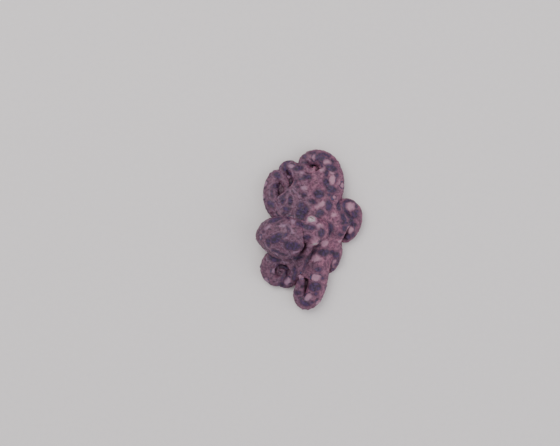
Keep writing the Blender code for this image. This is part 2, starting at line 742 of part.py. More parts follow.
def build_arm(name, line, lines, group, look):
    """One arm beyond the crown, in three lengths, cut clear of what it presses against."""
    free = line.length - line.root
    names = list(ARMS)
    for part, low, high in zip(LENGTH_NAMES, LENGTH_ENDS, LENGTH_ENDS[1:]):
        start = line.root + free * low + GAP * (1.0 if low == 0 else 0.5)
        end = line.root + free * high - (GAP * 0.5 if high < 1 else 0.0)
        piece = loft(f"{name}_{part}", [line.ring(run) for run in runs(start, end)], group, look)
        cups = suckers("cups", line, lines, start, end, group)
        if cups:
            boolean(piece, "UNION", [cups])
        rooms = [loft("bag_room", bag_rings(GAP), group), room_of(line, 0.0, line.root + free * low, group)]
        for other in names:
            if other != name:
                earlier = names.index(other) < names.index(name)
                reach = lines[other].length if earlier else lines[other].root
                rooms.append(room_of(lines[other], 0.0, reach, group))
        rooms += [web_panel("panel_room", lines, web, group, GAP) for web in WEBS]
        box = bounds_of(piece)
        for room in rooms:
            if boxes_meet(box, bounds_of(room)):
                boolean(piece, "DIFFERENCE", [room])
            else:
                bpy.data.objects.remove(room)
        keep_largest(piece)
        draw_apart(piece)


def bounds_of(obj):
    """Lowest and highest corner of an object's mesh."""
    co = np.array([v.co for v in obj.data.vertices])
    return co.min(0), co.max(0)


def boxes_meet(a, b):
    """Whether two boxes overlap."""
    return bool((a[0] < b[1]).all() and (b[0] < a[1]).all())


def main():
    """Build every piece of the animal."""
    clear_scene()
    group = collection(ANIMAL)
    skin, web, eye = finish("skin"), finish("web"), finish("eye", 0.1)
    lines = {name: ArmLine(arm) for name, arm in ARMS.items()}
    build_bag(group, skin)
    build_head(group, skin)
    build_eyes(group, eye)
    build_siphon(group, skin)
    build_crown(lines, group, web)
    for name, line in lines.items():
        build_arm(name, line, lines, group, skin)
        print(name, f"{line.length:.1f} mm long")
    for obj in group.objects:
        obj.data.transform(Matrix.Translation(Vector((*TO_MIDDLE, 0.0)) * MM))


main()
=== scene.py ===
"""The looks of a greater blue-ringed octopus, life size, huddled on the floor with its arms curled.

One skin stands for all of the animal's flesh, so that no seam shows where the solids meet. It is
drawn out of the same sections as the solids, run together, wrinkled, and marked with rings, blots
and strokes at their places on the animal. Eyes and suckers are pieces of their own.
Lengths are in millimetres until a mesh is made, +X is ahead of the head and +Z is up.
"""

import json
import logging
import math
import random
from dataclasses import dataclass, field
from enum import Enum
from typing import Callable, Iterable, Sequence

import bpy
import numpy as np
from mathutils import Matrix, Vector, kdtree, noise
from mathutils.bvhtree import BVHTree

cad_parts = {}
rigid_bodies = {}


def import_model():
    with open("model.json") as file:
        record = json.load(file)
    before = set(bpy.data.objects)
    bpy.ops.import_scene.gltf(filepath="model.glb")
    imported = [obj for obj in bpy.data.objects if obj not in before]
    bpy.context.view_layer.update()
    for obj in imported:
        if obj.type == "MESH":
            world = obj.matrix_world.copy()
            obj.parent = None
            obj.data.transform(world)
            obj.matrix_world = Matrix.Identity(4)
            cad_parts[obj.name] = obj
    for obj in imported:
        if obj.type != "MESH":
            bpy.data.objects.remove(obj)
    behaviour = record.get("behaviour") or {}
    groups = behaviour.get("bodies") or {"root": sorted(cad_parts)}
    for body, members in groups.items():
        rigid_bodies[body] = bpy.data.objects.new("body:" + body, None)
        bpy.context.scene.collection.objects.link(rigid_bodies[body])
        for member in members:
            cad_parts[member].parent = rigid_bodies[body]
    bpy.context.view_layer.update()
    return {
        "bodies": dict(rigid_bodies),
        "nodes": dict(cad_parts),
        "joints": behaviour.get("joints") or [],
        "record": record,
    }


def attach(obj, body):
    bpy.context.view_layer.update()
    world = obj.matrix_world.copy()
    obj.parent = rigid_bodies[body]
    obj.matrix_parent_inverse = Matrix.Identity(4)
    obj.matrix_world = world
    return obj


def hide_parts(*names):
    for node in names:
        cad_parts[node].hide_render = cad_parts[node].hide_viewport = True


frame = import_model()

MM = 0.001
FINE_STEPS = 24
LEAST_POINTS = 4
LOG = logging.getLogger("octopus")
Colour = tuple[float, float, float]
Point = tuple[float, float, float]


class Side(Enum):
    """A side of the animal, as its sense along the direction to its left."""

    LEFT = 1
    RIGHT = -1


@dataclass(frozen=True)
class ArmPlan:
    """One arm: its sizes, and the route of its middle line as (x, y, lift above lying down)."""

    name: str
    base_radius: float
    fullness: float
    route: tuple[Point, ...]


@dataclass(frozen=True)
class Ring:
    """A pale patch with a blue ring round it in a dark border, placed on the plan from above."""

    x: float
    y: float
    long: float
    short: float
    turn: float
    border: float


@dataclass(frozen=True)
class Blot:
    """A dark or pale patch placed on the plan from above."""

    x: float
    y: float
    long: float
    short: float
    turn: float


@dataclass(frozen=True)
class Stroke:
    """A dark or pale line placed on the plan from above."""

    half_width: float
    points: tuple[tuple[float, float], ...]


TO_MIDDLE = np.array([0.35, 0.15, 0.0])
ARM_PLANS = (
    ArmPlan("arm_left_1", 4.2, 2.4, (
        (2.9, 0.2, 1.6), (5.5, 1.3, 1.2), (8.4, 3.4, 0.5), (10.7, 5.9, 0), (12.9, 8.3, 0),
        (15.5, 9.3, 0), (17.9, 8.1, 0), (18.9, 5.2, 0), (18.5, 1.5, 0), (17.1, -1.9, 0),
        (14.9, -4.0, 0), (12.6, -3.4, 0), (12.8, -1.5, 0.3),
    )),
    ArmPlan("arm_left_2", 4.6, 3.3, (
        (2.5, 1.1, 1.6), (4.0, 4.0, 1.2), (6.1, 8.0, 0.5), (8.2, 12.4, 0), (9.7, 17.0, 0),
        (9.9, 22.1, 0), (8.4, 26.7, 0), (5.2, 29.7, 0), (1.3, 30.3, 0), (-1.6, 29.1, 0),
        (-2.4, 26.9, 1.0), (-0.8, 25.1, 3.4), (1.3, 25.0, 4.8), (2.1, 26.5, 5.2),
    )),
    ArmPlan("arm_left_3", 4.4, 2.4, (
        (1.9, 1.3, 1.6), (1.3, 5.2, 1.0), (0.4, 10.3, 0.2), (-0.6, 15.3, 0), (-2.9, 20.2, 0),
        (-5.7, 24.4, 0), (-8.5, 26.6, 0), (-10.9, 25.7, 0), (-11.3, 23.1, 0.8), (-9.4, 21.8, 2.0),
        (-8.0, 22.7, 3.0),
    )),
    ArmPlan("arm_left_4", 4.2, 2.2, (
        (0.4, 1.1, 1.2), (-2.9, 2.9, 0.6), (-7.2, 4.6, 0), (-12.1, 6.9, 0), (-15.4, 10.6, 0),
        (-16.4, 15.8, 0), (-15.5, 20.8, 0), (-13.5, 22.9, 0.4), (-11.1, 20.8, 2.2),
        (-9.8, 17.4, 3.8), (-10.7, 14.9, 4.8),
    )),
    ArmPlan("arm_right_4", 4.1, 2.4, (
        (0.4, -1.7, 1.2), (-2.3, -4.2, 0.6), (-5.7, -7.3, 0), (-10.2, -10.0, 0),
        (-15.1, -11.9, 0), (-17.7, -15.6, 0), (-16.9, -19.8, 0), (-13.9, -21.8, 0),
        (-11.2, -20.2, 0.4), (-11.2, -17.4, 1.4), (-12.9, -16.9, 2.2),
    )),
    ArmPlan("arm_right_3", 4.0, 2.8, (
        (1.5, -2.3, 1.6), (0.0, -6.1, 0.8), (-2.0, -10.5, 0.1), (-3.8, -14.9, 0),
        (-5.7, -18.9, 0), (-8.0, -21.8, 0), (-10.5, -23.4, 0), (-13.0, -23.6, 0),
    )),
    ArmPlan("arm_right_2", 4.5, 2.8, (
        (2.9, -1.9, 1.6), (4.8, -5.7, 1.0), (5.0, -10.3, 0.3), (4.0, -15.3, 0), (3.4, -20.4, 0),
        (2.5, -25.4, 0), (0.6, -29.5, 0), (-2.2, -30.7, 0), (-4.3, -28.3, 0.3),
        (-4.4, -24.6, 3.0), (-3.6, -21.2, 6.0), (-4.4, -19.1, 7.2),
    )),
    ArmPlan("arm_right_1", 4.0, 2.6, (
        (3.1, -1.3, 1.6), (6.3, -2.7, 1.0), (9.0, -5.2, 0.2), (10.3, -9.0, 0), (10.1, -12.8, 0),
        (9.2, -16.2, 0), (8.2, -18.4, 0),
    )),
)
RINGS = tuple(Ring(*row) for row in (
    (2.0, 30.6, 1.49, 1.03, 80, 0.5), (7.5, 28.5, 2.07, 1.44, -30, 0.5), (9.5, 20.6, 2.18, 1.38, 72, 0.55),
    (17.5, 9.7, 2.53, 1.95, 15, 0.6), (17.2, 0.2, 2.07, 1.55, 50, 0.55), (10.6, -14.3, 2.13, 0.92, 80, 0.5),
    (2.9, -20.1, 2.42, 1.38, 0, 0.6), (-0.5, -28.2, 1.84, 1.32, 40, 0.55),
    (-7.6, 26.9, 1.49, 0.92, 10, 0.5), (-9.3, -21.7, 1.95, 1.38, 60, 0.5),
    (-3.4, -19.0, 1.72, 1.26, 90, 0.5), (10.4, 13.6, 1.03, 0.8, 0, 0.4),
))
PALE_PATCHES = tuple(Blot(*row) for row in (
    (-0.9, 31.4, 1.08, 0.6, 70), (9.6, 23.9, 1.44, 1.2, 0), (11.7, 11.7, 1.08, 0.42, 90),
    (4.5, 10.4, 2.88, 1.32, 20), (10.4, 6.2, 1.56, 1.08, 0), (4.5, 1.6, 2.4, 1.44, 0),
    (-6.8, 3.7, 1.8, 1.08, 80), (-0.5, -5.9, 2.28, 1.2, -40), (2.9, -11.8, 2.4, 1.8, 0),
    (-2.6, 24.1, 1.8, 0.96, 0), (-11.0, 1.8, 2.16, 0.72, -5), (-17.3, 1.2, 1.92, 1.08, 0),
    (-7.0, 23.5, 1.32, 0.84, 90), (-12.7, 18.0, 1.2, 0.6, 0), (-10.2, -3.2, 1.56, 0.6, -20),
    (-2.2, 17.6, 1.68, 1.08, 0), (13.4, -4.7, 1.44, 0.96, 0), (6.6, -5.5, 2.16, 1.68, 0),
    (5.4, 26.0, 1.68, 1.92, 0), (-5.5, -9.3, 2.16, 0.72, 0), (15.0, 13.8, 0.96, 0.6, 0),
    (-11.0, -13.5, 1.8, 0.6, -30),
))
DARK_BLOTS = tuple(Blot(*row) for row in (
    (5.4, 30.2, 1.38, 0.92, 0), (9.8, 28.9, 0.92, 0.69, 90), (9.2, 26.0, 2.53, 1.32, -20),
    (7.3, 24.1, 1.38, 0.92, 90), (7.3, 20.1, 1.72, 1.15, 100), (11.8, 23.0, 1.03, 0.57, 90),
    (9.2, 17.2, 2.3, 1.49, -20), (8.3, 14.8, 0.92, 0.69, 0), (8.3, 10.2, 2.18, 1.26, 90),
    (12.4, 10.0, 2.18, 0.75, 95), (4.1, 15.1, 1.95, 1.72, 0), (1.4, 11.8, 1.72, 0.92, -15),
    (4.7, 7.1, 1.61, 1.26, 0), (3.3, 5.6, 1.03, 0.92, 0), (-1.4, 8.3, 1.72, 1.26, 80),
    (-3.4, 10.4, 1.38, 1.15, 0), (-3.6, 6.7, 2.64, 1.84, 85), (-4.1, 2.7, 1.72, 1.49, 0),
    (-0.5, 1.3, 3.1, 1.09, -8), (19.8, 10.2, 1.03, 0.69, 90), (19.2, 6.5, 1.72, 1.03, -55),
    (14.3, 5.0, 2.3, 1.21, -65), (17.6, 3.3, 1.15, 0.92, 0), (15.0, 2.9, 1.72, 0.69, 0),
    (18.8, 2.2, 1.15, 0.69, 0), (15.9, -2.8, 1.84, 1.38, -10), (13.5, -2.1, 1.15, 0.69, 0),
    (18.5, -2.2, 1.26, 0.69, 80), (14.8, 0.6, 1.26, 0.69, 90), (5.2, -1.1, 1.84, 1.61, 90),
    (8.8, 0.1, 2.42, 1.95, 90), (-0.7, -3.2, 1.84, 1.09, -15), (6.2, -9.5, 2.3, 1.44, 0),
    (9.4, -9.3, 1.15, 0.8, 0), (3.7, -16.6, 1.49, 1.09, 10), (5.7, -20.2, 0.69, 0.57, 0),
    (2.5, -24.0, 2.88, 1.72, -5), (2.7, -26.9, 0.92, 0.8, 0), (-2.6, -23.2, 1.38, 0.92, 90),
    (-4.3, -21.9, 1.26, 0.63, -10), (-5.1, -26.5, 1.61, 1.03, 0), (-1.5, -31.1, 2.07, 1.03, -10),
    (-12.2, -23.4, 1.72, 1.03, -20), (11.3, -10.6, 1.84, 1.03, -20), (10.0, -17.1, 1.03, 0.69, 0),
    (11.9, -15.8, 0.92, 0.63, 0), (-13.9, -3.5, 3.1, 1.72, 25), (-9.7, -2.0, 1.49, 0.75, 30),
    (-7.0, -6.8, 3.45, 1.95, -12), (-17.1, -5.3, 1.84, 1.26, 65), (-14.6, -12.0, 2.42, 1.49, -20),
    (-14.3, 4.2, 2.88, 1.49, 5), (-2.2, 14.6, 0.92, 0.8, 0), (-7.9, 12.3, 1.84, 0.92, 90),
    (-11.0, 12.1, 1.38, 0.8, 70), (-9.7, 8.8, 1.72, 0.86, 10), (-9.2, 5.0, 1.38, 0.63, 90),
    (-16.0, 10.7, 1.95, 1.15, -45), (-14.1, 18.4, 1.95, 0.92, 15), (-13.5, 23.0, 1.72, 1.09, -25),
    (-4.5, 26.0, 2.3, 1.03, 15), (-1.9, 31.0, 1.15, 0.98, 0), (-0.5, 22.1, 2.42, 0.86, 8),
    (-9.6, -15.8, 1.38, 0.69, -10), (-4.9, 18.0, 0.57, 0.52, 0),
))
DARK_STROKES = tuple(Stroke(*row) for row in (
    (0.7, ((3.3, 30.2), (4.5, 31.6), (6.6, 31.9), (8.3, 31.1))),
    (0.45, ((3.7, 30.2), (4.5, 28.5), (5.5, 26.8))), (0.45, ((-0.1, 32.4), (2.5, 32.7))),
    (0.65, ((14.5, 10.0), (15.0, 11.7), (16.7, 12.4), (18.0, 12.1))),
    (0.6, ((14.4, 10.0), (15.0, 8.3), (16.3, 6.7), (17.3, 5.0))),
    (0.6, ((20.5, 7.9), (18.8, 6.2), (17.8, 4.1))), (0.35, ((12.5, -12.0), (13.4, -13.9), (12.7, -15.6))),
    (0.38, ((4.5, -4.7), (3.7, -6.8), (1.6, -7.7))), (0.3, ((-3.2, -7.2), (-1.8, -7.8))),
    (0.33, ((2.9, -8.6), (1.8, -9.3), (0.9, -11.0), (-0.3, -11.9), (-1.3, -12.7))),
    (0.4, ((-0.9, -12.7), (-1.8, -14.8), (-2.4, -17.1))),
    (0.7, ((-6.0, -16.2), (-6.2, -19.0), (-6.5, -21.1))),
    (0.6, ((-3.4, -29.0), (-3.0, -30.7), (-1.3, -31.8), (1.2, -30.4))),
    (0.5, ((-9.6, -17.5), (-10.6, -19.4), (-11.8, -21.3))), (0.4, ((-11.0, -24.0), (-8.1, -24.0))),
    (0.75, ((-8.5, 29.1), (-10.2, 27.7), (-10.6, 26.0), (-8.7, 23.5))),
    (0.35, ((-6.2, 19.3), (-5.5, 20.5))), (0.45, ((-3.9, 21.4), (-2.2, 21.5))),
    (0.35, ((-11.8, 13.0), (-11.0, 14.4), (-8.9, 15.7))), (0.35, ((-15.6, 16.7), (-15.4, 13.8))),
    (0.4, ((-18.5, 5.8), (-17.3, 7.7))), (0.35, ((-19.2, 7.5), (-19.0, 9.6))),
    (0.5, ((-15.6, -8.5), (-13.1, -9.0), (-11.4, -10.1), (-9.7, -10.4))),
    (0.62, ((-8.5, -12.1), (-5.5, -12.1), (-3.0, -11.4))), (0.5, ((-11.4, -4.5), (-9.3, -5.1))),
    (0.4, ((-11.0, 6.9), (-8.9, 7.5))), (0.35, ((-13.5, -14.8), (-11.8, -15.8))),
    (0.35, ((-19.4, 3.3), (-19.2, -0.9))), (0.3, ((-8.5, -0.1), (-9.3, 1.2))),
    (0.35, ((-2.6, 28.1), (-0.9, 28.7))),
))
PALE_LINES = tuple(Stroke(*row) for row in (
    (0.48, ((-18.5, -6.4), (-17.3, -7.6), (-15.6, -8.3), (-13.5, -10.3), (-11.8, -11.8), (-9.3, -13.9))),
    (0.38, ((-7.6, 0.4), (-7.0, -0.6))), (0.4, ((-11.8, 2.3), (-9.7, 2.0), (-8.1, 1.0))),
    (0.25, ((-2.6, -8.6), (-0.5, -8.7))), (0.3, ((-9.6, 23.5), (-9.1, 22.5), (-8.3, 21.1))),
    (0.35, ((15.5, 7.9), (15.9, 5.8), (15.9, 3.7))), (0.22, ((-13.1, 13.0), (-11.8, 14.6), (-9.3, 16.5))),
    (0.25, ((-9.3, 12.5), (-8.6, 14.6), (-8.1, 16.1))), (0.22, ((-6.8, 16.9), (-5.1, 15.1), (-4.1, 13.4))),
    (0.25, ((-6.8, -0.9), (-4.7, -2.6), (-3.4, -4.7))), (0.2, ((-3.9, 9.1), (-2.6, 8.9))),
    (0.2, ((1.9, -7.9), (3.5, -7.5))), (0.3, ((11.3, 24.5), (12.3, 21.8), (12.3, 19.3))),
    (0.25, ((-16.4, 6.7), (-17.3, 5.0))),
))


def unit(v: np.ndarray) -> np.ndarray:
    """The vector at length one."""
    return v / np.linalg.norm(v)


def ease(values: np.ndarray, low: float, high: float) -> np.ndarray:
    """Nought at low, one at high, and a smooth step between."""
    t = np.clip((values - low) / (high - low), 0, 1)
    return t * t * (3 - 2 * t)


def read(mesh: bpy.types.Mesh, what: str) -> np.ndarray:
    """One row for each vertex: "co" gives its place in metres, "normal" the way it faces."""
    values = np.empty(len(mesh.vertices) * 3)
    mesh.vertices.foreach_get(what, values)
    return values.reshape(-1, 3)


def smooth_line(points: Iterable[Sequence[float]], step: float) -> np.ndarray:
    """Points about a step apart on a smooth curve through the given ones.

    Args:
        points: Places that the curve passes through.
        step: Spacing of the points wanted, on the plan.

    Returns:
        The curve's points, one row each.
    """
    p = np.array(list(points), float)
    p = np.vstack([2 * p[0] - p[1], p, 2 * p[-1] - p[-2]])
    fine = []
    for a, b, c, d in zip(p, p[1:], p[2:], p[3:]):
        for t in np.linspace(0, 1, FINE_STEPS, endpoint=False):
            fine.append(0.5 * (2 * b + (c - a) * t + (2 * a - 5 * b + 4 * c - d) * t**2
                               + (3 * b - a - 3 * c + d) * t**3))
    line = np.array([*fine, p[-2]])
    steps = np.linalg.norm(np.diff(line[:, :2], axis=0), axis=1)
    run = np.concatenate([[0], np.cumsum(steps)])
    at = np.linspace(0, run[-1], max(LEAST_POINTS, round(run[-1] / step) + 1))
    return np.stack([np.interp(at, run, line[:, k]) for k in range(line.shape[1])], axis=1)


class Modeller:
    """The few moves of modelling by hand that every piece is made with."""

    @staticmethod
    def start() -> None:
        """Leave edit mode and select nothing."""
        if bpy.context.object and bpy.context.object.mode != "OBJECT":
            bpy.ops.object.mode_set(mode="OBJECT")
        bpy.ops.object.select_all(action="DESELECT")

    @staticmethod
    def turn(rotation: Matrix, centre: Sequence[float]) -> None:
        """Turn what is selected about a centre, one world axis after the other.

        Args:
            rotation: The whole rotation, as a 3 by 3 matrix.
            centre: The point that stays still, in metres.
        """
        for axis, angle in zip("XYZ", rotation.to_euler("XYZ")):
            if abs(angle) > 1e-6:
                bpy.ops.transform.rotate(value=-angle, orient_axis=axis, center_override=centre)

    @staticmethod
    def only(objects: Sequence[bpy.types.Object]) -> None:
        """Select these objects alone, the first of them active."""
        Modeller.start()
        for obj in objects:
            obj.select_set(True)
        bpy.context.view_layer.objects.active = objects[0]

    @staticmethod
    def join(objects: Sequence[bpy.types.Object], name: str) -> bpy.types.Object:
        """Join the objects into the first one, under a name."""
        Modeller.only(objects)
        if len(objects) > 1:
            bpy.ops.object.join()
        objects[0].name = name
        objects[0].data.name = name
        return objects[0]

    @staticmethod
    def modify(obj: bpy.types.Object, kind: str, **settings: object) -> None:
        """Add a modifier to the object with its settings, and apply it."""
        Modeller.only([obj])
        step = obj.modifiers.new(kind.lower(), kind)
        for key, value in settings.items():
            setattr(step, key, value)
        bpy.ops.object.modifier_apply(modifier=step.name)

    @staticmethod
    def ball(centre: Sequence[float], radii: Sequence[float], sides: int) -> bpy.types.Object:
        """A ball pulled to three radii, in millimetres, as a start for a rounded form."""
        Modeller.start()
        middle = Vector(centre) * MM
        bpy.ops.mesh.primitive_uv_sphere_add(segments=sides, ring_count=sides // 2, radius=MM,
                                             location=(0, 0, 0))
        bpy.ops.object.mode_set(mode="EDIT")
        bpy.ops.mesh.select_all(action="SELECT")
        bpy.ops.transform.resize(value=tuple(radii), center_override=(0, 0, 0))
        bpy.ops.transform.translate(value=middle)
        bpy.ops.object.mode_set(mode="OBJECT")
        return bpy.context.object


class Sweep:
    """A tube drawn out of one circle, extruded, turned and sized from section to section."""

    def __init__(self, name: str, sides: int, radius: float, flat: float = 1.0) -> None:
        """Lay the first circle on the origin, facing +Z.

        Args:
            name: Name of the finished object.
            sides: Corners of the section.
            radius: Radius of the first section, in millimetres.
            flat: Depth of the +Y half as a share of the radius.
        """
        Modeller.start()
        bpy.ops.mesh.primitive_circle_add(vertices=sides, radius=radius * MM, fill_type="NGON",
                                          location=(0, 0, 0))
        self.obj = bpy.context.object
        self.obj.name = name
        for vert in self.obj.data.vertices:
            vert.select = vert.co.y > 0
        bpy.ops.object.mode_set(mode="EDIT")
        bpy.context.tool_settings.mesh_select_mode = (True, False, False)
        bpy.ops.transform.resize(value=(1, flat, 1), center_override=(0, 0, 0))
        bpy.ops.mesh.select_all(action="SELECT")
        self.centre = Vector((0, 0, 0))
        self.frame = Matrix.Identity(3)
        self.size = Vector((radius, radius, radius))

    def move(self, centre: Sequence[float], frame: Matrix | None, size: Sequence[float]) -> None:
        """Take the selected section to its next centre, direction and size."""
        place = Vector(centre) * MM
        bpy.ops.transform.translate(value=place - self.centre)
        self.centre = place
        if frame is not None:
            Modeller.turn(frame @ self.frame.transposed(), place)
            self.frame = frame
        new = Vector(size)
        change = [b / a for a, b in zip(self.size, new)]
        bpy.ops.transform.resize(value=change, center_override=place)
        self.size = new

    def draw(self, centre: Sequence[float], frame: Matrix | None, size: Sequence[float]) -> None:
        """Extrude a new section and take it to its place."""
        bpy.ops.mesh.extrude_region_move()
        self.move(centre, frame, size)

    def close(self) -> bpy.types.Object:
        """End the tube with its faces pointing outwards."""
        bpy.ops.mesh.select_all(action="SELECT")
        bpy.ops.mesh.normals_make_consistent(inside=False)
        bpy.ops.object.mode_set(mode="OBJECT")
        return self.obj


class ArmLine:
    """An arm's middle line, with its radius and the direction of its sucker side."""

    FLATNESS = 0.86
    TIP_RADIUS = 0.35
    TAPER = 0.8
    STEP = 0.4
    BEND_WINDOW = 5

    def __init__(self, plan: ArmPlan, rise: float) -> None:
        """Lay the arm along its route, and carry its sucker side from facing the floor.

        Args:
            plan: The arm's sizes and route.
            rise: How far the suckers stand out, as a share of the radius.
        """
        self.plan = plan
        line = smooth_line(plan.route, self.STEP)
        self.radii = self.radius_at_share(np.linspace(0, 1, len(line)))
        rest = self.radii * (self.FLATNESS + rise)
        self.points = np.column_stack([line[:, 0], line[:, 1], rest + line[:, 2]]) + TO_MIDDLE
        steps = np.linalg.norm(np.diff(self.points, axis=0), axis=1)
        self.run = np.concatenate([[0], np.cumsum(steps)])
        self.length = self.run[-1]
        self.tangents = np.array([unit(v) for v in np.gradient(self.points, self.run, axis=0)])
        bend = np.gradient(self.tangents, self.run, axis=0)
        window = np.ones(self.BEND_WINDOW) / self.BEND_WINDOW
        self.bends = np.column_stack([np.convolve(bend[:, k], window, "same") for k in range(3)])
        oral = np.array([0.0, 0.0, -1.0])
        found = []
        for tangent in self.tangents:
            oral = unit(oral - tangent * (oral @ tangent))
            found.append(oral)
        self.oral = np.array(found)

    def radius_at_share(self, share: np.ndarray) -> np.ndarray:
        """Radius at a share of the length: full for most of it, then drawn to a fine tip."""
        base, fullness = self.plan.base_radius, self.plan.fullness
        return self.TIP_RADIUS + (base - self.TIP_RADIUS) * (1 - share**fullness) ** self.TAPER

    def at(self, run: float) -> tuple[np.ndarray, np.ndarray, np.ndarray, np.ndarray, float]:
        """Centre, sideways and sucker-side directions, bend and radius, so far along the arm."""
        def mix(values: np.ndarray) -> np.ndarray:
            return np.array([np.interp(run, self.run, column) for column in values.T])

        tangent = unit(mix(self.tangents))
        oral = mix(self.oral)
        oral = unit(oral - tangent * (oral @ tangent))
        share = np.interp(run, self.run, np.linspace(0, 1, len(self.run)))
        radius = float(self.radius_at_share(share))
        return mix(self.points), np.cross(oral, tangent), oral, mix(self.bends), radius


@dataclass
class Body:
    """The bag of the body, the head with its eye turrets, and the siphon."""

    middle: tuple[float, float] = (0.9 + TO_MIDDLE[0], -0.5 + TO_MIDDLE[1])
    turn: float = math.radians(7)
    bag: tuple[tuple[float, ...], ...] = (
        (4.3, 5.4, 4.6, 12.3, -0.6), (6.0, 6.9, 6.0, 11.7, -1.1), (9.4, 8.6, 7.5, 10.3, -1.6),
        (13.4, 9.1, 8.1, 8.7, -1.5), (17.4, 8.1, 7.5, 7.2, -0.8), (20.8, 5.5, 5.5, 6.1, -0.1),
        (23.0, 2.6, 2.9, 5.9, 0.2), (23.7, 1.0, 1.1, 5.8, 0.2),
    )
    head: tuple[tuple[float, ...], ...] = (
        (-3.9, 4.7, 4.0, 12.2), (-1.9, 4.9, 4.2, 12.1), (0.6, 5.3, 4.4, 11.7),
        (3.1, 5.0, 4.4, 10.7), (5.3, 3.9, 3.9, 9.4), (6.9, 2.2, 2.6, 8.2), (7.6, 0.8, 1.0, 7.6),
    )
    eye_radius: float = 1.9
    eye_place: Point = (0.1, 4.3, 13.9)
    eye_looks: tuple[Point, Point] = ((0.06, 0.62, 0.78), (0.12, 0.92, 0.36))
    eye_rolls: tuple[float, float] = (math.radians(-30), 0.0)
    turret_radius: float = 2.75
    turret_sink: float = 0.9
    siphon: tuple[Point, ...] = ((-1.0, -4.4, 9.4), (-2.6, -7.2, 9.2), (-4.2, -9.6, 8.9))
    siphon_radii: tuple[float, ...] = (1.9, 1.6, 1.25)
    siphon_bore: float = 0.7
    bore_shares: tuple[float, ...] = (0.3, 1.0, 1.1)
    bore_excess: float = 0.4
    sides: int = 48
    turret_sides: int = 32
    siphon_sides: int = 24
    bag_step: float = 0.6
    head_step: float = 0.5
    siphon_step: float = 0.4

    def place(self, forward: float, left: float, height: float) -> np.ndarray:
        """A place given along the body's axis, to its left and above the floor."""
        cos, sin = math.cos(self.turn), math.sin(self.turn)
        return np.array([self.middle[0] + cos * forward - sin * left,
                         self.middle[1] + sin * forward + cos * left, height])

    def eye(self, side: Side) -> tuple[np.ndarray, np.ndarray]:
        """Centre and gaze of the eye on a side."""
        forward, left, height = self.eye_place
        ahead, aside, up = self.eye_looks[side is Side.RIGHT]
        gaze = self.place(ahead, aside * side.value, up) - self.place(0, 0, 0)
        return self.place(forward, left * side.value, height), unit(gaze)

    def eye_frame(self, side: Side) -> tuple[np.ndarray, np.ndarray]:
        """Directions along and across the slit of the eye on a side."""
        gaze = self.eye(side)[1]
        up = unit(np.array([0, 0, 1.0]) - gaze * gaze[2])
        ahead = np.cross(up, gaze)
        roll = self.eye_rolls[side is Side.RIGHT]
        cos, sin = math.cos(roll), math.sin(roll)
        return ahead * cos + up * sin, up * cos - ahead * sin

    def along(self, name: str, stations: np.ndarray) -> bpy.types.Object:
        """A form swept along the body's axis.

        Args:
            name: Name of the form.
            stations: Rows of (forward, left, half width, half height, height).

        Returns:
            The closed form, in its place.
        """
        facing = Matrix(((0, 0, 1), (1, 0, 0), (0, 1, 0)))
        sweep = Sweep(name, self.sides, 1.0)
        forward, left, wide, high, height = stations[0]
        sweep.move((forward, left, height), facing, (1.0, wide, high))
        for forward, left, wide, high, height in stations[1:]:
            sweep.draw((forward, left, height), None, (1.0, wide, high))
        bpy.ops.mesh.select_all(action="SELECT")
        Modeller.turn(Matrix.Rotation(self.turn, 3, "Z"), (0, 0, 0))
        bpy.ops.transform.translate(value=(self.middle[0] * MM, self.middle[1] * MM, 0))
        return sweep.close()

    def build_bag(self) -> bpy.types.Object:
        """The bag of the body."""
        rows = smooth_line([(-back, left, w, h, z) for back, w, h, z, left in self.bag], self.bag_step)
        return self.along("bag", rows)

    def build_head(self) -> list[bpy.types.Object]:
        """The head, with the two turrets that carry the eyes."""
        rows = smooth_line([(f, 0.0, w, h, z) for f, w, h, z in self.head], self.head_step)
        made = [self.along("head", rows)]
        for side in Side:
            centre, gaze = self.eye(side)
            radii = (self.turret_radius,) * 3
            made.append(Modeller.ball(centre - gaze * self.turret_sink, radii, self.turret_sides))
        return made

    def build_siphon(self) -> bpy.types.Object:
        """The siphon's tube."""
        return self.tube("siphon", self.siphon_radii, 0.0)

    def build_bore(self) -> bpy.types.Object:
        """The hollow of the siphon, a little longer than its tube."""
        radii = [self.siphon_bore * share for share in self.bore_shares]
        return self.tube("bore", radii, self.bore_excess)

    def tube(self, name: str, radii: Sequence[float], longer: float) -> bpy.types.Object:
        """A round tube along the siphon's route."""
        rows = [(*self.place(*p), r) for p, r in zip(self.siphon, radii)]
        line = smooth_line(rows, self.siphon_step)
        ahead = unit(line[-1][:3] - line[0][:3])
        side = unit(np.cross(ahead, (0, 0, 1)))
        facing = Matrix((side, np.cross(ahead, side), ahead)).transposed()
        sweep = Sweep(name, self.siphon_sides, 1.0)
        sweep.move(line[0][:3], facing, (line[0][3],) * 3)
        for row in line[1:]:
            sweep.draw(row[:3], None, (row[3],) * 3)
        sweep.draw(line[-1][:3] + ahead * longer, None, (line[-1][3],) * 3)
        return sweep.close()


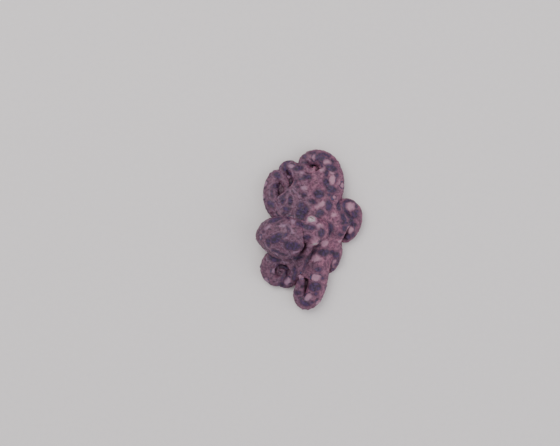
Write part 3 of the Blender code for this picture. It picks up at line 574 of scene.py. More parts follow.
@dataclass
class Crown:
    """The disc under the head where arms, web and mouth meet."""

    centre: Point = (1.6 + TO_MIDDLE[0], -0.5 + TO_MIDDLE[1], 5.2)
    radius: float = 8.4
    half_height: float = 3.4
    lip_radius: float = 1.7
    lip_thickness: float = 0.5
    mouth_depth: float = 1.6
    web_lift: float = 0.5
    web_rise: float = 0.6
    web_overlap: float = 0.7
    web_thickness: float = 1.4
    web_edge_share: float = 0.5
    web_grid: tuple[int, int] = (14, 30)
    disc_sides: int = 48
    lip_sides: tuple[int, int] = (36, 12)
    lip_sink: float = 0.2
    mouth_share: float = 0.62
    mouth_sides: int = 24
    webs: tuple[tuple, ...] = (
        ("arm_left_1", "arm_left_2", 14.0, 14.5, 0.12),
        ("arm_left_2", "arm_left_3", 28.0, 24.5, 0.05),
        ("arm_left_3", "arm_left_4", 23.0, 20.5, 0.05),
        ("arm_left_4", "arm_right_4", 8.0, 8.0, 0.2),
        ("arm_right_4", "arm_right_3", 20.4, 18.6, 0.07),
        ("arm_right_3", "arm_right_2", 20.6, 21.4, 0.07),
        ("arm_right_2", "arm_right_1", 13.0, 12.5, 0.14),
        ("arm_right_1", "arm_left_1", 13.0, 22.0, 0.03),
    )

    def build_disc(self) -> list[bpy.types.Object]:
        """The disc, and the lip round the mouth in its underside."""
        disc = Modeller.ball(self.centre, (self.radius, self.radius, self.half_height), self.disc_sides)
        Modeller.start()
        x, y, z = self.centre
        low = (z - self.half_height + self.lip_sink) * MM
        around, across = self.lip_sides
        bpy.ops.mesh.primitive_torus_add(location=(0, 0, 0), major_radius=self.lip_radius * MM,
                                         minor_radius=self.lip_thickness * MM,
                                         major_segments=around, minor_segments=across)
        lip = bpy.context.object
        bpy.ops.object.mode_set(mode="EDIT")
        bpy.ops.transform.translate(value=(x * MM, y * MM, low))
        bpy.ops.object.mode_set(mode="OBJECT")
        return [disc, lip]

    def build_mouth(self) -> bpy.types.Object:
        """The hollow of the mouth."""
        x, y, z = self.centre
        wide = self.lip_radius * self.mouth_share
        radii = (wide, wide, self.mouth_depth)
        return Modeller.ball((x, y, z - self.half_height), radii, self.mouth_sides)

    def build_web(self, lines: dict[str, ArmLine], web: tuple) -> bpy.types.Object:
        """The web between two neighbouring arms: a sheet with a drawn-in margin.

        Args:
            lines: The middle lines of all arms, by name.
            web: The two arms, how far along each the web reaches, and how much its margin draws in.

        Returns:
            The web with its thickness.
        """
        first, second, reach_a, reach_b, notch = web
        a, b = lines[first], lines[second]
        across, along = self.web_grid
        Modeller.start()
        bpy.ops.mesh.primitive_grid_add(x_subdivisions=across, y_subdivisions=along, size=2 * MM,
                                        location=(0, 0, 0))
        sheet = bpy.context.object
        weights = sheet.vertex_groups.new(name="thickness")
        for vert in sheet.data.vertices:
            share, reach = (vert.co.x / MM + 1) / 2, (vert.co.y / MM + 1) / 2
            out = reach * (1 - notch * 4 * share * (1 - share))
            pa, _, _, _, ra = a.at(reach_a * out)
            pb, _, _, _, rb = b.at(reach_b * out)
            aside = unit((pb - pa) * (1, 1, 0)) * self.web_overlap
            lift = np.array([0.0, 0.0, self.web_lift])
            place = (pa + (aside + lift) * ra) * (1 - share) + (pb + (lift - aside) * rb) * share
            place[2] += self.web_rise * math.sin(math.pi * share) * reach
            vert.co = Vector(place) * MM
            weights.add([vert.index], 1 - self.web_edge_share * reach, "REPLACE")
        Modeller.modify(sheet, "SOLIDIFY", thickness=self.web_thickness * MM, offset=0.0,
                        vertex_group="thickness")
        return sheet


@dataclass
class Arms:
    """The eight arms as tapered tubes, flatter on the sucker side."""

    sides: int = 28
    step: float = 0.55
    lines: dict[str, ArmLine] = field(default_factory=dict)
    folds: tuple[tuple[Point, Point], ...] = (
        ((-11.4, 16.3, 2.2), (2.8, 3.6, 0.9)), ((-7.5, 20.8, 2.2), (2.4, 2.4, 0.9)),
        ((-11.0, -17.0, 1.8), (3.5, 3.2, 0.8)), ((3.0, 25.6, 2.0), (3.2, 2.6, 0.9)),
        ((-0.9, -23.8, 2.0), (1.7, 3.8, 0.9)),
    )

    def build_folds(self) -> list[bpy.types.Object]:
        """The skin gathered low down inside the curls, which closes them when seen from above."""
        return [Modeller.ball(centre, radii, self.sides) for centre, radii in self.folds]

    def build(self, line: ArmLine) -> bpy.types.Object:
        """One arm, drawn from its root to its tip."""
        count = max(2, round(line.length / self.step))
        first = line.plan.base_radius
        sweep = Sweep(line.plan.name, self.sides, first, ArmLine.FLATNESS)
        for place, run in enumerate(np.linspace(0, line.length, count)):
            centre, side, oral, _, radius = line.at(run)
            facing = Matrix((side, oral, np.cross(side, oral))).transposed()
            if place:
                sweep.draw(centre, facing, (radius,) * 3)
            else:
                sweep.move(centre, facing, (radius,) * 3)
        return sweep.close()


@dataclass
class Suckers:
    """The suckers of the arms: one cup, modelled once and copied in two rows along each arm."""

    sides: int = 12
    radius: float = 0.34
    spacing: float = 0.36
    least_spacing: float = 0.5
    offset: float = 0.42
    rise: float = 0.15
    first: float = 5.5
    sizes: tuple[float, float] = (0.92, 1.06)
    unevenness: tuple[float, float] = (0.95, 1.05)
    height: tuple[float, float] = (1.15, 0.1)
    lowest: float = 0.02
    gap: float = 0.3
    bend_room: float = 0.78
    stalk: float = 1.6
    foot: float = 0.8
    profile: tuple[tuple[float, float], ...] = (
        (0.95, 0.94), (0.3, 1.28), (0.27, 1.04), (0.08, 0.9), (-0.14, 0.74), (-0.4, 0.5),
    )
    seed: int = 8

    def build_cup(self) -> bpy.types.Object:
        """One sucker of radius one with its rim at nought and its stalk along -Z, in metres."""
        Modeller.start()
        bpy.ops.mesh.primitive_circle_add(vertices=self.sides, radius=self.foot, fill_type="NGON",
                                          location=(0, 0, 0))
        cup = bpy.context.object
        bpy.ops.object.mode_set(mode="EDIT")
        bpy.ops.transform.translate(value=(0, 0, -self.stalk))
        for rise, size in self.profile:
            bpy.ops.mesh.extrude_region_move(TRANSFORM_OT_translate={"value": (0, 0, rise)})
            bpy.ops.transform.resize(value=(size, size, 1), center_override=(0, 0, 0))
        bpy.ops.mesh.poke()
        bpy.ops.mesh.select_all(action="SELECT")
        bpy.ops.mesh.normals_make_consistent(inside=False)
        bpy.ops.object.mode_set(mode="OBJECT")
        bpy.ops.object.shade_smooth()
        cup.name = "cup"
        return cup

    def stations(self, line: ArmLine) -> list[tuple[float, int, float]]:
        """Places of an arm's suckers, as (length along it, side, size), row by row in turn."""
        draw = random.Random(f"{self.seed} {line.plan.base_radius} {line.length:.3f}")
        run, side, made = self.first, 1, []
        while True:
            radius = line.at(run)[-1]
            if run + radius * self.radius > line.length:
                return made
            made.append((run, side, draw.uniform(*self.sizes)))
            run += max(self.spacing * radius, self.least_spacing) * draw.uniform(*self.unevenness)
            side = -side

    def crowded(self, place: np.ndarray, wide: float, line: ArmLine,
                others: Iterable[ArmLine]) -> bool:
        """Whether a sucker would press into another arm."""
        return any((np.linalg.norm(other.points - place, axis=1) - other.radii).min() < wide + self.gap
                   for other in others if other is not line)

    def build(self, cup: bpy.types.Object, line: ArmLine,
              lines: dict[str, ArmLine]) -> bpy.types.Object:
        """The suckers of one arm.

        Args:
            cup: The sucker to copy.
            line: The arm's middle line.
            lines: The middle lines of all arms, which the suckers keep clear of.

        Returns:
            One object of many cups.
        """
        made = []
        for run, side, size in self.stations(line):
            centre, sideways, oral, bend, radius = line.at(run)
            wide = self.radius * radius * size
            offset = self.offset * radius
            inward = bend @ sideways * side
            if inward * (offset + wide) > self.bend_room:
                offset = self.bend_room / inward - wide
            rim = centre + sideways * side * offset + oral * radius * (ArmLine.FLATNESS + self.rise)
            if offset < 0 or self.crowded(rim, wide, line, lines.values()):
                continue
            rim[2] = max(rim[2], self.lowest)
            facing = Matrix((sideways, np.cross(oral, sideways), oral)).transposed().to_4x4()
            high = wide * (self.height[0] + self.height[1] * size)
            scale = Matrix.Diagonal((wide, wide, high, 1.0))
            to_place = Matrix.Scale(MM, 4) @ Matrix.Translation(Vector(rim)) @ facing @ scale
            copy = bpy.data.objects.new("sucker", cup.data.copy())
            bpy.context.scene.collection.objects.link(copy)
            copy.data.transform(to_place)
            for vert in copy.data.vertices:
                vert.co.z = max(vert.co.z, 0.0)
            made.append(copy)
        return Modeller.join(made, "suckers_" + line.plan.name)


@dataclass
class Markings:
    """The animal's colour pattern, as distances in millimetres kept on the skin's vertices."""

    body: Body
    side_spacing: float = 4.6
    side_sizes: tuple[float, float] = (0.75, 1.25)
    side_stretch: tuple[float, float] = (1.0, 1.5)
    side_borders: tuple[float, float] = (0.5, 0.8)
    side_tries: int = 6000
    steepest: float = 0.55
    lowest: float = 2.2
    depth: float = 1.4
    seed: int = 21
    far: float = 9.0
    warp: float = 0.5
    warp_scale: float = 0.6
    patch_fade: float = 0.2
    lid_reach: float = 2.45
    lid_clear: float = 2.9

    def lay(self, skin: bpy.types.Object) -> None:
        """Measure every mark on the skin and keep the distances as attributes."""
        mesh = skin.data
        self.points, self.normals = read(mesh, "co") / MM, read(mesh, "normal")
        self.tree = BVHTree.FromPolygons(self.points.tolist(), [p.vertices for p in mesh.polygons])
        noise.seed_set(self.seed)
        bent = [noise.noise_vector(Vector(p) * self.warp_scale) for p in self.points]
        self.bent = self.points + np.array(bent) * self.warp
        self.dark, self.pale, self.blue = np.full((3, len(self.points)), self.far)
        self.taken: list[np.ndarray] = []
        for ring in RINGS:
            self.add_ring(*self.drop(ring.x, ring.y), ring)
        for patch in PALE_PATCHES:
            self.pale = np.minimum(self.pale, self.blot(patch) + self.patch_fade)
        self.pale = np.minimum.reduce([self.pale, *map(self.stroke, PALE_LINES)])
        dark = [*map(self.blot, DARK_BLOTS), *map(self.stroke, DARK_STROKES)]
        self.dark = np.minimum.reduce([self.dark, *dark])
        self.scatter()
        self.clear_lids()
        for name in ("dark", "pale", "blue"):
            self.keep(mesh, name, getattr(self, name))

    def drop(self, x: float, y: float) -> tuple[np.ndarray, np.ndarray]:
        """The highest point of the skin over a place on the plan, and the normal there."""
        hit, normal, _, _ = self.tree.ray_cast(Vector((x, y, 60)), Vector((0, 0, -1)))
        if hit is None:
            hit, normal, _, _ = self.tree.find_nearest(Vector((x, y, 5)))
        return np.array(hit), np.array(normal)

    def oval(self, centre: np.ndarray, normal: np.ndarray, long: float, short: float,
             turn: float) -> np.ndarray:
        """Distance of every vertex from an oval lying on the skin, less than nought inside it."""
        angle = math.radians(turn)
        ahead = np.array([math.cos(angle), math.sin(angle), 0.0])
        ahead = unit(ahead - normal * (ahead @ normal) + 1e-6)
        across = np.cross(normal, ahead)
        away = self.bent - centre
        deep = self.depth * short
        reach = np.sqrt((away @ ahead / long) ** 2 + (away @ across / short) ** 2
                        + (away @ normal / deep) ** 2)
        return (reach - 1) * min(long, short) ** 0.5 * max(long, short) ** 0.5

    def blot(self, patch: Blot) -> np.ndarray:
        """Distance of every vertex from a patch, whose place is then taken."""
        centre, normal = self.drop(patch.x, patch.y)
        self.taken.append(centre)
        return self.oval(centre, normal, patch.long, patch.short, patch.turn)

    def stroke(self, line: Stroke) -> np.ndarray:
        """Distance of every vertex from a line drawn on the skin, less than nought inside it."""
        points = [self.drop(x, y)[0] for x, y in line.points]
        least = np.full(len(self.points), self.far)
        for a, b in zip(points, points[1:]):
            along = b - a
            t = np.clip((self.bent - a) @ along / (along @ along), 0, 1)
            least = np.minimum(least, np.linalg.norm(self.bent - a - t[:, None] * along, axis=1))
        return least - line.half_width

    def add_ring(self, centre: np.ndarray, normal: np.ndarray, ring: Ring) -> None:
        """Add a ring: pale inside, and a blue line in the middle of the border round it."""
        self.taken.append(centre)
        inner = self.oval(centre, normal, ring.long, ring.short, ring.turn)
        self.pale = np.minimum(self.pale, inner)
        self.blue = np.minimum(self.blue, np.abs(inner - ring.border / 2))

    def clear_lids(self) -> None:
        """Keep the lids pale, and free of the dark blots beside them."""
        for side in Side:
            away = np.linalg.norm(self.bent - self.body.eye(side)[0], axis=1)
            self.dark = np.maximum(self.dark, self.lid_clear - away)
            self.pale = np.minimum(self.pale, away - self.lid_reach)

    def scatter(self) -> None:
        """Spread smaller rings over the flanks, well apart from each other and from other marks."""
        draw = random.Random(self.seed)
        flank = (np.abs(self.normals[:, 2]) < self.steepest) & (self.points[:, 2] > self.lowest)
        order = np.flatnonzero(flank).tolist()
        draw.shuffle(order)
        for index in order[:self.side_tries]:
            place = self.points[index]
            if min(np.linalg.norm(place - other) for other in self.taken) < self.side_spacing:
                continue
            size = draw.uniform(*self.side_sizes)
            ring = Ring(0, 0, size * draw.uniform(*self.side_stretch), size, draw.uniform(0, 180),
                        draw.uniform(*self.side_borders))
            self.add_ring(place, self.normals[index], ring)

    @staticmethod
    def keep(mesh: bpy.types.Mesh, name: str, values: np.ndarray) -> None:
        """Store one number for each vertex under a name."""
        layer = mesh.attributes.new(name, "FLOAT", "POINT")
        layer.data.foreach_set("value", values.astype(np.float32))


@dataclass
class Skin:
    """The one skin of the whole animal."""

    body: Body
    crown: Crown
    arms: Arms
    voxel: float = 0.21
    most_triangles: int = 186000
    smoothing: int = 7
    lid_height: float = 0.3
    lid_at: float = 1.3
    lid_width: float = 0.42
    lid_edge: tuple[float, float] = (0.92, 1.08)
    lid_end: float = 2.6
    lid_blend: float = 3.0
    lid_area: float = 1.9
    lid_tuck: float = 0.3
    openings: tuple[tuple[float, float], ...] = ((68.0, 66.0), (58.0, 36.0))
    corner: float = 1.8
    noises: tuple[tuple[float, float], ...] = ((0.42, 0.0), (1.15, 7.0), (0.95, 31.0))
    fold_lift: float = 0.2
    fold_sharpness: float = 2.2
    grain_lift: float = 0.09
    wart_lift: float = 0.5
    wart_level: float = 0.24
    calm_heights: tuple[float, float] = (0.3, 3.0)
    calm_share: float = 0.2
    eye_calm: tuple[float, float] = (2.1, 3.4)
    blur_rounds: int = 14
    hollow_rounds: int = 2
    under_rounds: int = 3
    least_away: float = 0.05
    arm_reach: float = 5.5
    under_level: float = 0.5
    under_slope: float = 1.2
    coarse: float = 1.6
    relax: float = 0.5

    def build(self) -> bpy.types.Object:
        """Run all forms together into one surface, then add lids, wrinkles and markings.

        Returns:
            The finished skin.
        """
        parts = [self.body.build_bag(), *self.body.build_head(), self.body.build_siphon()]
        parts += self.crown.build_disc()
        parts += [self.arms.build(line) for line in self.arms.lines.values()]
        parts += [self.crown.build_web(self.arms.lines, web) for web in self.crown.webs]
        parts += self.arms.build_folds()
        skin = Modeller.join(parts, "skin")
        voxel = self.voxel * 1.0
        Modeller.modify(skin, "REMESH", mode="VOXEL", voxel_size=voxel * MM, adaptivity=0.0)
        LOG.info("skin run together: %d faces", len(skin.data.polygons))
        Modeller.modify(skin, "SMOOTH", factor=self.relax, iterations=self.smoothing)
        for hollow in (self.body.build_bore(), self.crown.build_mouth()):
            Modeller.modify(skin, "BOOLEAN", operation="DIFFERENCE", solver="MANIFOLD",
                            object=hollow)
            bpy.data.objects.remove(hollow)
        self.shape(skin, self.fold_lids)
        self.shape(skin, self.wrinkle)
        faces = sum(len(p.vertices) - 2 for p in skin.data.polygons)
        if faces > self.most_triangles:
            Modeller.modify(skin, "DECIMATE", ratio=self.most_triangles / faces)
        Modeller.only([skin])
        bpy.ops.object.shade_smooth()
        Markings(self.body).lay(skin)
        self.shade(skin)
        return skin

    def shape(self, skin: bpy.types.Object,
              move: Callable[[np.ndarray, np.ndarray], np.ndarray]) -> None:
        """Move the skin's vertices.

        Args:
            skin: The skin.
            move: Takes places in millimetres and normals, and gives the new places.
        """
        mesh = skin.data
        moved = move(read(mesh, "co") / MM, read(mesh, "normal"))
        moved[:, 2] = np.maximum(moved[:, 2], 0.0)
        mesh.vertices.foreach_set("co", (moved * MM).ravel())
        mesh.update()

    def fold_lids(self, places: np.ndarray, _: np.ndarray) -> np.ndarray:
        """Open the skin over each eye and raise a lid round the opening."""
        places = places.copy()
        radius = self.body.eye_radius
        inside = radius - self.lid_tuck
        for side in Side:
            centre, gaze = self.body.eye(side)
            ahead, up = self.body.eye_frame(side)
            opening = self.openings[side is Side.RIGHT]
            away = places - centre
            far = np.linalg.norm(away, axis=1)
            near = np.flatnonzero((far < radius * self.lid_area) & (away @ gaze > 0.0))
            aim = away[near] / far[near, None]
            wide = np.degrees(np.arctan2(aim @ ahead, aim @ gaze)) / opening[0]
            high = np.degrees(np.arctan2(aim @ up, aim @ gaze)) / opening[1]
            reach = (np.abs(wide) ** self.corner + np.abs(high) ** self.corner) ** (1 / self.corner)
            lid = radius + self.lid_height * np.exp(-(((reach - self.lid_at) / self.lid_width) ** 2))
            blend = lid + self.lid_blend * ease(reach, self.lid_at, self.lid_end)
            outside = np.maximum(lid, np.minimum(far[near], blend))
            target = inside + (outside - inside) * ease(reach, *self.lid_edge)
            places[near] = centre + aim * target[:, None]
        return places

    def wrinkle(self, places: np.ndarray, normals: np.ndarray) -> np.ndarray:
        """Lift the skin into soft folds and small warts, less so near the floor and the eyes."""
        lift = np.empty(len(places))
        for index, place in enumerate(places):
            fold, grain, wart = [noise.noise(Vector(place * scale + shift))
                                 for scale, shift in self.noises]
            lift[index] = (self.fold_lift * (1 - self.fold_sharpness * abs(fold))
                           + self.grain_lift * grain + self.wart_lift * max(wart - self.wart_level, 0.0))
        quiet = ease(places[:, 2], *self.calm_heights) * (1 - self.calm_share) + self.calm_share
        for side in Side:
            away = np.linalg.norm(places - self.body.eye(side)[0], axis=1)
            quiet *= ease(away, *self.eye_calm)
        return places + normals * (lift * quiet)[:, None]

    def shade(self, skin: bpy.types.Object) -> None:
        """Keep how hollow the skin is at each vertex, for its painted shade and painted light, and how far
        on an arm's sucker side.
        """
        mesh = skin.data
        places, normals = read(mesh, "co") / MM, read(mesh, "normal")
        count = len(places)
        edges = np.empty(len(mesh.edges) * 2, dtype=np.int64)
        mesh.edges.foreach_get("vertices", edges)
        a, b = edges.reshape(-1, 2).T
        links = np.maximum(np.bincount(a, minlength=count) + np.bincount(b, minlength=count), 1)

        def spread(values: np.ndarray, rounds: int) -> np.ndarray:
            for _ in range(rounds):
                values = (np.bincount(a, values[b], count) + np.bincount(b, values[a], count)) / links
            return values

        blurred = np.column_stack([spread(column, self.blur_rounds) for column in places.T])
        # above nought in creases, where the colour paints shade, and below nought on bulges, where it
        # paints light
        hollow = np.einsum("ij,ij->i", blurred - places, normals)
        Markings.keep(mesh, "hollow", spread(hollow, self.hollow_rounds))
        Markings.keep(mesh, "under", spread(self.underside(places, normals), self.under_rounds))

    def underside(self, places: np.ndarray, normals: np.ndarray) -> np.ndarray:
        """How far each place lies on the sucker side of the arm nearest to it."""
        lines = self.arms.lines.values()
        centres = [centre for line in lines for centre in line.points]
        orals = [oral for line in lines for oral in line.oral]
        tree = kdtree.KDTree(len(centres))
        for index, centre in enumerate(centres):
            tree.insert(centre, index)
        tree.balance()
        under = np.empty(len(places))
        for index, place in enumerate(places):
            _, nearest, distance = tree.find(place)
            away = (place - centres[nearest]) / max(distance, self.least_away)
            under[index] = away @ orals[nearest] - max(distance - self.arm_reach, 0)
        return np.minimum(under, self.under_level - normals[:, 2] * self.under_slope)


class Value:
    """A number that varies over a surface, with the arithmetic of Math nodes."""

    def __init__(self, shader: "Shader", socket: bpy.types.NodeSocket) -> None:
        """Wrap an output socket of the shader's tree."""
        self.shader = shader
        self.socket = socket

    def math(self, operation: str, *terms: object) -> "Value":
        """A Math node on the terms."""
        node = self.shader.node("ShaderNodeMath", {"operation": operation}, dict(enumerate(terms)))
        return Value(self.shader, node.outputs[0])

    def __add__(self, other: object) -> "Value":
        """Sum."""
        return self.math("ADD", self, other)

    __radd__ = __add__

    def __sub__(self, other: object) -> "Value":
        """Difference."""
        return self.math("SUBTRACT", self, other)

    def __rsub__(self, other: object) -> "Value":
        """Difference from a number."""
        return self.math("SUBTRACT", other, self)

    def __mul__(self, other: object) -> "Value":
        """Product."""
        return self.math("MULTIPLY", self, other)

    def __abs__(self) -> "Value":
        """Size without its sign."""
        return self.math("ABSOLUTE", self)

    def rising(self, low: float, high: float) -> "Value":
        """Nought below low, one above high, and a smooth step between."""
        node = self.shader.node("ShaderNodeMapRange", {"interpolation_type": "SMOOTHSTEP"},
                                {"Value": self, "From Min": low, "From Max": high})
        return Value(self.shader, node.outputs["Result"])

    def falling(self, low: float, high: float) -> "Value":
        """One below low, nought above high, and a smooth step between."""
        return 1 - self.rising(low, high)


class Shader:
    """The node tree of one material."""

    def __init__(self, name: str) -> None:
        """Start a material with an empty tree and its main shader."""
        self.material = bpy.data.materials.new(name)
        self.material.use_nodes = True
        self.tree = self.material.node_tree
        self.tree.nodes.clear()
        self.surface = self.node("ShaderNodeBsdfPrincipled")
        self.node("ShaderNodeOutputMaterial", inputs={"Surface": self.surface.outputs[0]})

    def node(self, kind: str, settings: dict | None = None,
             inputs: dict | None = None) -> bpy.types.Node:
        """Add a node.

        Args:
            kind: The node's type.
            settings: Its own settings, set first.
            inputs: Values or links for its sockets, by name or number.

        Returns:
            The node.
        """
        made = self.tree.nodes.new(kind)
        for key, value in (settings or {}).items():
            setattr(made, key, value)
        for key, value in (inputs or {}).items():
            self.put(made.inputs[key], value)
        return made

    def put(self, socket: bpy.types.NodeSocket, value: object) -> None:
        """Link a value to a socket, or set a plain number or colour on it."""
        if isinstance(value, Value):
            self.tree.links.new(value.socket, socket)
        elif isinstance(value, bpy.types.NodeSocket):
            self.tree.links.new(value, socket)
        elif isinstance(value, tuple) and socket.type == "RGBA":
            socket.default_value = (*value, 1.0)
        else:
            socket.default_value = value

    def set(self, **values: object) -> None:
        """Set sockets of the main shader, an underscore standing for a space in their names."""
        for key, value in values.items():
            self.put(self.surface.inputs[key.replace("_", " ")], value)

    def attribute(self, name: str) -> Value:
        """A number kept on the mesh."""
        node = self.node("ShaderNodeAttribute",
                         {"attribute_name": name, "attribute_type": "GEOMETRY"})
        return Value(self, node.outputs["Fac"])

    def millimetres(self) -> bpy.types.NodeSocket:
        """The place on the object, in millimetres."""
        place = self.node("ShaderNodeTexCoord").outputs["Object"]
        return self.node("ShaderNodeVectorMath", {"operation": "SCALE"},
                         {"Vector": place, "Scale": 1 / MM}).outputs[0]

    def noise(self, place: bpy.types.NodeSocket, scale: float, detail: float = 2.0) -> Value:
        """Cloudy noise from nought to one, so many to the millimetre."""
        node = self.node("ShaderNodeTexNoise", {},
                         {"Vector": place, "Scale": scale, "Detail": detail})
        return Value(self, node.outputs["Fac"])

    def cells(self, place: bpy.types.NodeSocket, scale: float) -> Value:
        """Distance from the nearest of many scattered points."""
        node = self.node("ShaderNodeTexVoronoi", {}, {"Vector": place, "Scale": scale})
        return Value(self, node.outputs["Distance"])

    def mix(self, a: object, b: object, share: object) -> bpy.types.NodeSocket:
        """Two colours mixed."""
        node = self.node("ShaderNodeMix", {"data_type": "RGBA"}, {0: share, 6: a, 7: b})
        return node.outputs[2]

    def layers(self, base: object, *layers: tuple) -> bpy.types.NodeSocket:
        """Colours laid over a base one after the other, each with the share that it covers."""
        for colour, share in layers:
            base = self.mix(base, colour, share)
        return base

    def bump(self, height: Value, distance: float, strength: float) -> bpy.types.NodeSocket:
        """Normals from a height, its distance in millimetres."""
        node = self.node("ShaderNodeBump", {},
                         {"Height": height, "Distance": distance * MM, "Strength": strength})
        return node.outputs["Normal"]


@dataclass(frozen=True)
class SkinFinish:
    """Mottled skin: a mauve-brown ground, pigment cells, pale patches, dark marks, blue lines, with painted
    shade in its hollows and painted light on its bulges.
    """

    sand: Colour = (0.265, 0.101, 0.158)
    rose: Colour = (0.165, 0.050, 0.096)
    brown: Colour = (0.066, 0.022, 0.049)
    olive: Colour = (0.088, 0.043, 0.071)
    cream: Colour = (0.370, 0.188, 0.258)
    lilac: Colour = (0.220, 0.129, 0.206)
    dark: Colour = (0.022, 0.010, 0.027)
    violet: Colour = (0.044, 0.018, 0.072)
    blue: Colour = (0.024, 0.060, 0.180)
    under: Colour = (0.340, 0.166, 0.217)

    def material(self) -> bpy.types.Material:
        """The skin's material, which reads the distances kept on the mesh."""
        shader = Shader("octopus_skin")
        place = shader.millimetres()
        cloud = shader.noise(place, 0.16, 3.0)
        patch = shader.noise(place, 0.5, 4.0)
        swirl = shader.noise(place, 0.34, 2.5)
        mottle = shader.noise(place, 0.95, 5.0)
        fine = shader.noise(place, 2.2, 3.0)
        cells = shader.cells(place, 2.8)
        ragged = (mottle - 0.5) * 1.1 + (fine - 0.5) * 0.6
        x = Value(shader, shader.node("ShaderNodeSeparateXYZ", {}, {0: place}).outputs["X"])
        behind = (x * -0.06 + cloud * 1.4 - 0.3).rising(0.0, 0.9)
        curls = abs(swirl - 0.5 + (mottle - 0.5) * 0.12).falling(0.008, 0.055)
        wisps = abs(mottle - 0.44).falling(0.0, 0.03) * patch.rising(0.4, 0.6)
        pale = (shader.attribute("pale") + ragged * 0.9).falling(-0.75, 0.5)
        cream = shader.mix(self.cream, self.lilac, behind * 0.8 + (patch - 0.5) * 0.5)
        ring = shader.attribute("blue") + (fine - 0.5) * 0.2
        broken = patch.rising(0.38, 0.56)
        dark = shader.attribute("dark") + ragged * 0.9
        tone = shader.mix(self.dark, self.violet, mottle.rising(0.4, 0.6))
        outline = abs(dark - 0.9).falling(0.05, 0.4) * fine.rising(0.4, 0.6)
        # how hollow the skin is: it drives the painted shade in the hollows and the painted light on the
        # bulges below
        hollow = shader.attribute("hollow")
        colour = shader.layers(
            self.sand,
            (self.rose, patch.rising(0.36, 0.62)),
            (self.olive, behind * 0.7),
            (self.brown, mottle.rising(0.44, 0.62) * 0.75),
            (self.dark, curls * (0.3 + behind * 0.45) * patch.rising(0.34, 0.55)),
            (self.lilac, wisps * 0.4),
            (self.brown, cells.falling(0.16, 0.4) * 0.7),
            (cream, pale * (0.85 - cells.falling(0.1, 0.34) * 0.45)),
            (self.dark, ring.falling(0.14, 0.42) * (0.35 + broken * 0.55)),
            (self.blue, ring.falling(0.03, 0.15) * broken * 0.75),
            (self.brown, dark.falling(0.0, 1.5) * 0.65),
            (self.lilac, outline * (behind * 0.45 + 0.12)),
            (tone, dark.falling(-0.4, 0.45) * 0.95),
            (self.under, shader.attribute("under").rising(0.2, 0.75) * 0.85),
            # painted shade: dark laid over the skin's hollows and creases; painted light: the pale ground
            # laid thinly over its sharp bulges
            (self.dark, hollow.rising(0.04, 0.3) * 0.48),
            (self.sand, hollow.falling(-0.22, -0.05) * 0.2),
        )
        height = cells.rising(0.0, 0.5) * -0.6 + fine * 0.8 + shader.noise(place, 6.0, 2.0) * 0.35
        shader.set(Base_Color=colour, Roughness=0.44 + fine * 0.24, Coat_Weight=0.05,
                   Coat_Roughness=0.25, Specular_IOR_Level=0.35, Subsurface_Weight=0.05,
                   Subsurface_Scale=1.0 * MM, Subsurface_Radius=(1.0, 0.45, 0.3),
                   Normal=shader.bump(height, 0.09, 0.8))
        return shader.material


@dataclass(frozen=True)
class SuckerFinish:
    """Pale suckers, pinker in cloudy patches."""

    pale: Colour = (0.60, 0.42, 0.36)
    pink: Colour = (0.40, 0.22, 0.20)

    def material(self) -> bpy.types.Material:
        """The suckers' material."""
        shader = Shader("octopus_suckers")
        place = shader.millimetres()
        cloud = shader.noise(place, 1.4, 3.0)
        grain = shader.noise(place, 6.0, 2.0)
        colour = shader.mix(self.pale, self.pink, cloud.rising(0.4, 0.65))
        shader.set(Base_Color=colour, Roughness=0.34 + grain * 0.2, Coat_Weight=0.2,
                   Coat_Roughness=0.2, Normal=shader.bump(grain, 0.04, 0.6))
        return shader.material


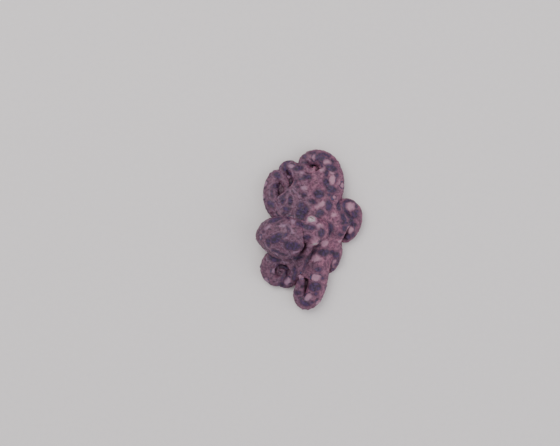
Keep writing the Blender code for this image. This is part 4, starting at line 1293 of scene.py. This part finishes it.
@dataclass
class Eyes:
    """The two eyes: a dome with a flecked iris and a slit for a pupil."""

    body: Body
    pale: Colour = (0.34, 0.27, 0.31)
    gold: Colour = (0.21, 0.135, 0.07)
    dusk: Colour = (0.11, 0.075, 0.085)
    rim: Colour = (0.045, 0.025, 0.03)
    black: Colour = (0.004, 0.004, 0.006)
    slit: tuple[float, float] = (0.84, 0.14)
    pupil_depth: float = 0.07
    far: float = 9.0
    segments: int = 96

    def build(self, side: Side) -> bpy.types.Object:
        """One eye, a dome with its pupil pressed in."""
        centre, gaze = self.body.eye(side)
        ahead, up = self.body.eye_frame(side)
        Modeller.start()
        bpy.ops.mesh.primitive_uv_sphere_add(segments=self.segments, ring_count=self.segments * 2 // 3,
                                             radius=self.body.eye_radius * MM, location=(0, 0, 0))
        eye = bpy.context.object
        eye.name = "eye_" + side.name.lower() + "_dome"
        for vert in eye.data.vertices:
            reach = (vert.co.x / MM / self.slit[0]) ** 2 + (vert.co.y / MM / self.slit[1]) ** 2
            vert.select = vert.co.z > 0 and reach < 1
        bpy.ops.object.mode_set(mode="EDIT")
        bpy.ops.transform.translate(value=(0, 0, -self.pupil_depth * MM))
        bpy.ops.mesh.select_all(action="SELECT")
        Modeller.turn(Matrix((ahead, up, gaze)).transposed(), (0, 0, 0))
        bpy.ops.transform.translate(value=Vector(centre) * MM)
        bpy.ops.object.mode_set(mode="OBJECT")
        bpy.ops.object.shade_smooth()
        offsets = read(eye.data, "co") / MM - centre
        reach = np.hypot(offsets @ ahead / self.slit[0], offsets @ up / self.slit[1])
        pupil = np.where(offsets @ gaze > 0, (reach - 1) * self.slit[1], self.far)
        Markings.keep(eye.data, "pupil", pupil)
        eye.data.materials.append(self.material(side))
        return eye

    def material(self, side: Side) -> bpy.types.Material:
        """The eye's material, read from its distance to the pupil's edge."""
        shader = Shader("octopus_eye_" + side.name.lower())
        place = shader.millimetres()
        pupil = shader.attribute("pupil")
        fleck = shader.noise(place, 3.2, 4.0)
        grain = shader.noise(place, 9.0, 3.0)
        colour = shader.layers(
            self.pale,
            (self.gold, fleck.rising(0.48, 0.7) * 0.35),
            (self.dusk, grain.rising(0.5, 0.68) * 0.3),
            (self.gold, pupil.falling(0.02, 0.15) * 0.6),
            (self.rim, pupil.rising(1.25, 1.7) * 0.6),
            (self.black, pupil.falling(-0.03, 0.03)),
        )
        shader.set(Base_Color=colour, Roughness=0.16 + fleck * 0.1, Coat_Weight=0.5,
                   Coat_Roughness=0.03, Normal=shader.bump(fleck, 0.03, 0.4))
        return shader.material


@dataclass
class Studio:
    """A plain pale floor, soft lights, and the camera straight above."""

    middle: tuple[float, float] = (-12.25, 2.88)
    view_width: float = 235.2
    distance: float = 900.0
    subject_height: float = 8.0
    sensor: float = 36.0
    floor_size: float = 6.0
    floor_colours: tuple[Colour, Colour] = ((0.72, 0.69, 0.68), (0.68, 0.65, 0.64))
    surround: Colour = (0.96, 0.95, 1.0)
    surround_strength: float = 0.8

    def build_floor(self) -> bpy.types.Object:
        """A wide floor just under the animal."""
        Modeller.start()
        bpy.ops.mesh.primitive_plane_add(size=self.floor_size, location=(0, 0, 0))
        floor = bpy.context.object
        floor.name = "floor"
        shader = Shader("floor_finish")
        grain = shader.noise(shader.millimetres(), 0.5, 2.0)
        shader.set(Base_Color=shader.mix(*self.floor_colours, grain), Roughness=0.85)
        floor.data.materials.append(shader.material)
        return floor

    def light(self, name: str, place: Point, size: float, power: float, colour: Colour) -> None:
        """An area light, its place in metres, aimed at the animal."""
        data = bpy.data.lights.new(name, "AREA")
        data.size = size
        data.energy = power
        data.color = colour
        lamp = bpy.data.objects.new(name, data)
        lamp.location = place
        lamp.rotation_euler = (-Vector(place)).to_track_quat("-Z", "Y").to_euler()
        bpy.context.scene.collection.objects.link(lamp)

    def build_lights(self) -> None:
        """A key from the upper left, a fill from the right, and an even pale surround."""
        self.light("key", (-0.35, 0.45, 0.85), 0.7, 7.0, (1.0, 0.97, 0.95))
        self.light("fill", (0.75, -0.2, 0.5), 0.8, 3.5, (0.95, 0.95, 1.0))
        world = bpy.data.worlds.new("surround")
        world.use_nodes = True
        backdrop = world.node_tree.nodes["Background"]
        backdrop.inputs["Color"].default_value = (*self.surround, 1.0)
        backdrop.inputs["Strength"].default_value = self.surround_strength
        bpy.context.scene.world = world

    def build_camera(self) -> None:
        """The camera, looking straight down with the animal right of the middle."""
        data = bpy.data.cameras.new("camera")
        data.sensor_width = self.sensor
        data.lens = self.sensor * self.distance / self.view_width
        data.clip_start, data.clip_end = 0.01, 20.0
        camera = bpy.data.objects.new("camera", data)
        x, y = self.middle
        camera.location = Vector((x, y, self.distance + self.subject_height)) * MM
        bpy.context.scene.collection.objects.link(camera)
        bpy.context.scene.camera = camera


def report(piece: bpy.types.Object) -> None:
    """Log a piece's name and its count of triangles."""
    triangles = sum(len(face.vertices) - 2 for face in piece.data.polygons)
    LOG.info("%s: %d triangles", piece.name, triangles)


def place_piece(piece: bpy.types.Object, slot: str, *nodes: str) -> None:
    """Make a piece ride on the body, and stand for its solids."""
    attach(piece, "root")
    if nodes:
        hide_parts(*nodes)
    report(piece)


def main() -> None:
    """Build the animal and the studio round it."""
    logging.basicConfig(level=logging.INFO, format="%(name)s: %(message)s")
    studio = Studio()
    studio.build_camera()
    studio.build_lights()
    report(studio.build_floor())
    cups, body, crown, arms = Suckers(), Body(), Crown(), Arms()
    arms.lines = {plan.name: ArmLine(plan, cups.rise) for plan in ARM_PLANS}
    skin = Skin(body, crown, arms).build()
    skin.data.materials.clear()
    skin.data.materials.append(SkinFinish().material())
    flesh = [name for name in frame["nodes"] if not name.startswith("eye_")]
    place_piece(skin, "skin", *flesh)
    eyes = Eyes(body)
    for side in Side:
        place_piece(eyes.build(side), "eye", "eye_" + side.name.lower())
    cup = cups.build_cup()
    finish = SuckerFinish().material()
    for line in arms.lines.values():
        piece = cups.build(cup, line, arms.lines)
        piece.data.materials.clear()
        piece.data.materials.append(finish)
        place_piece(piece, "skin")
    bpy.data.objects.remove(cup)


if __name__ == "__main__":
    main()
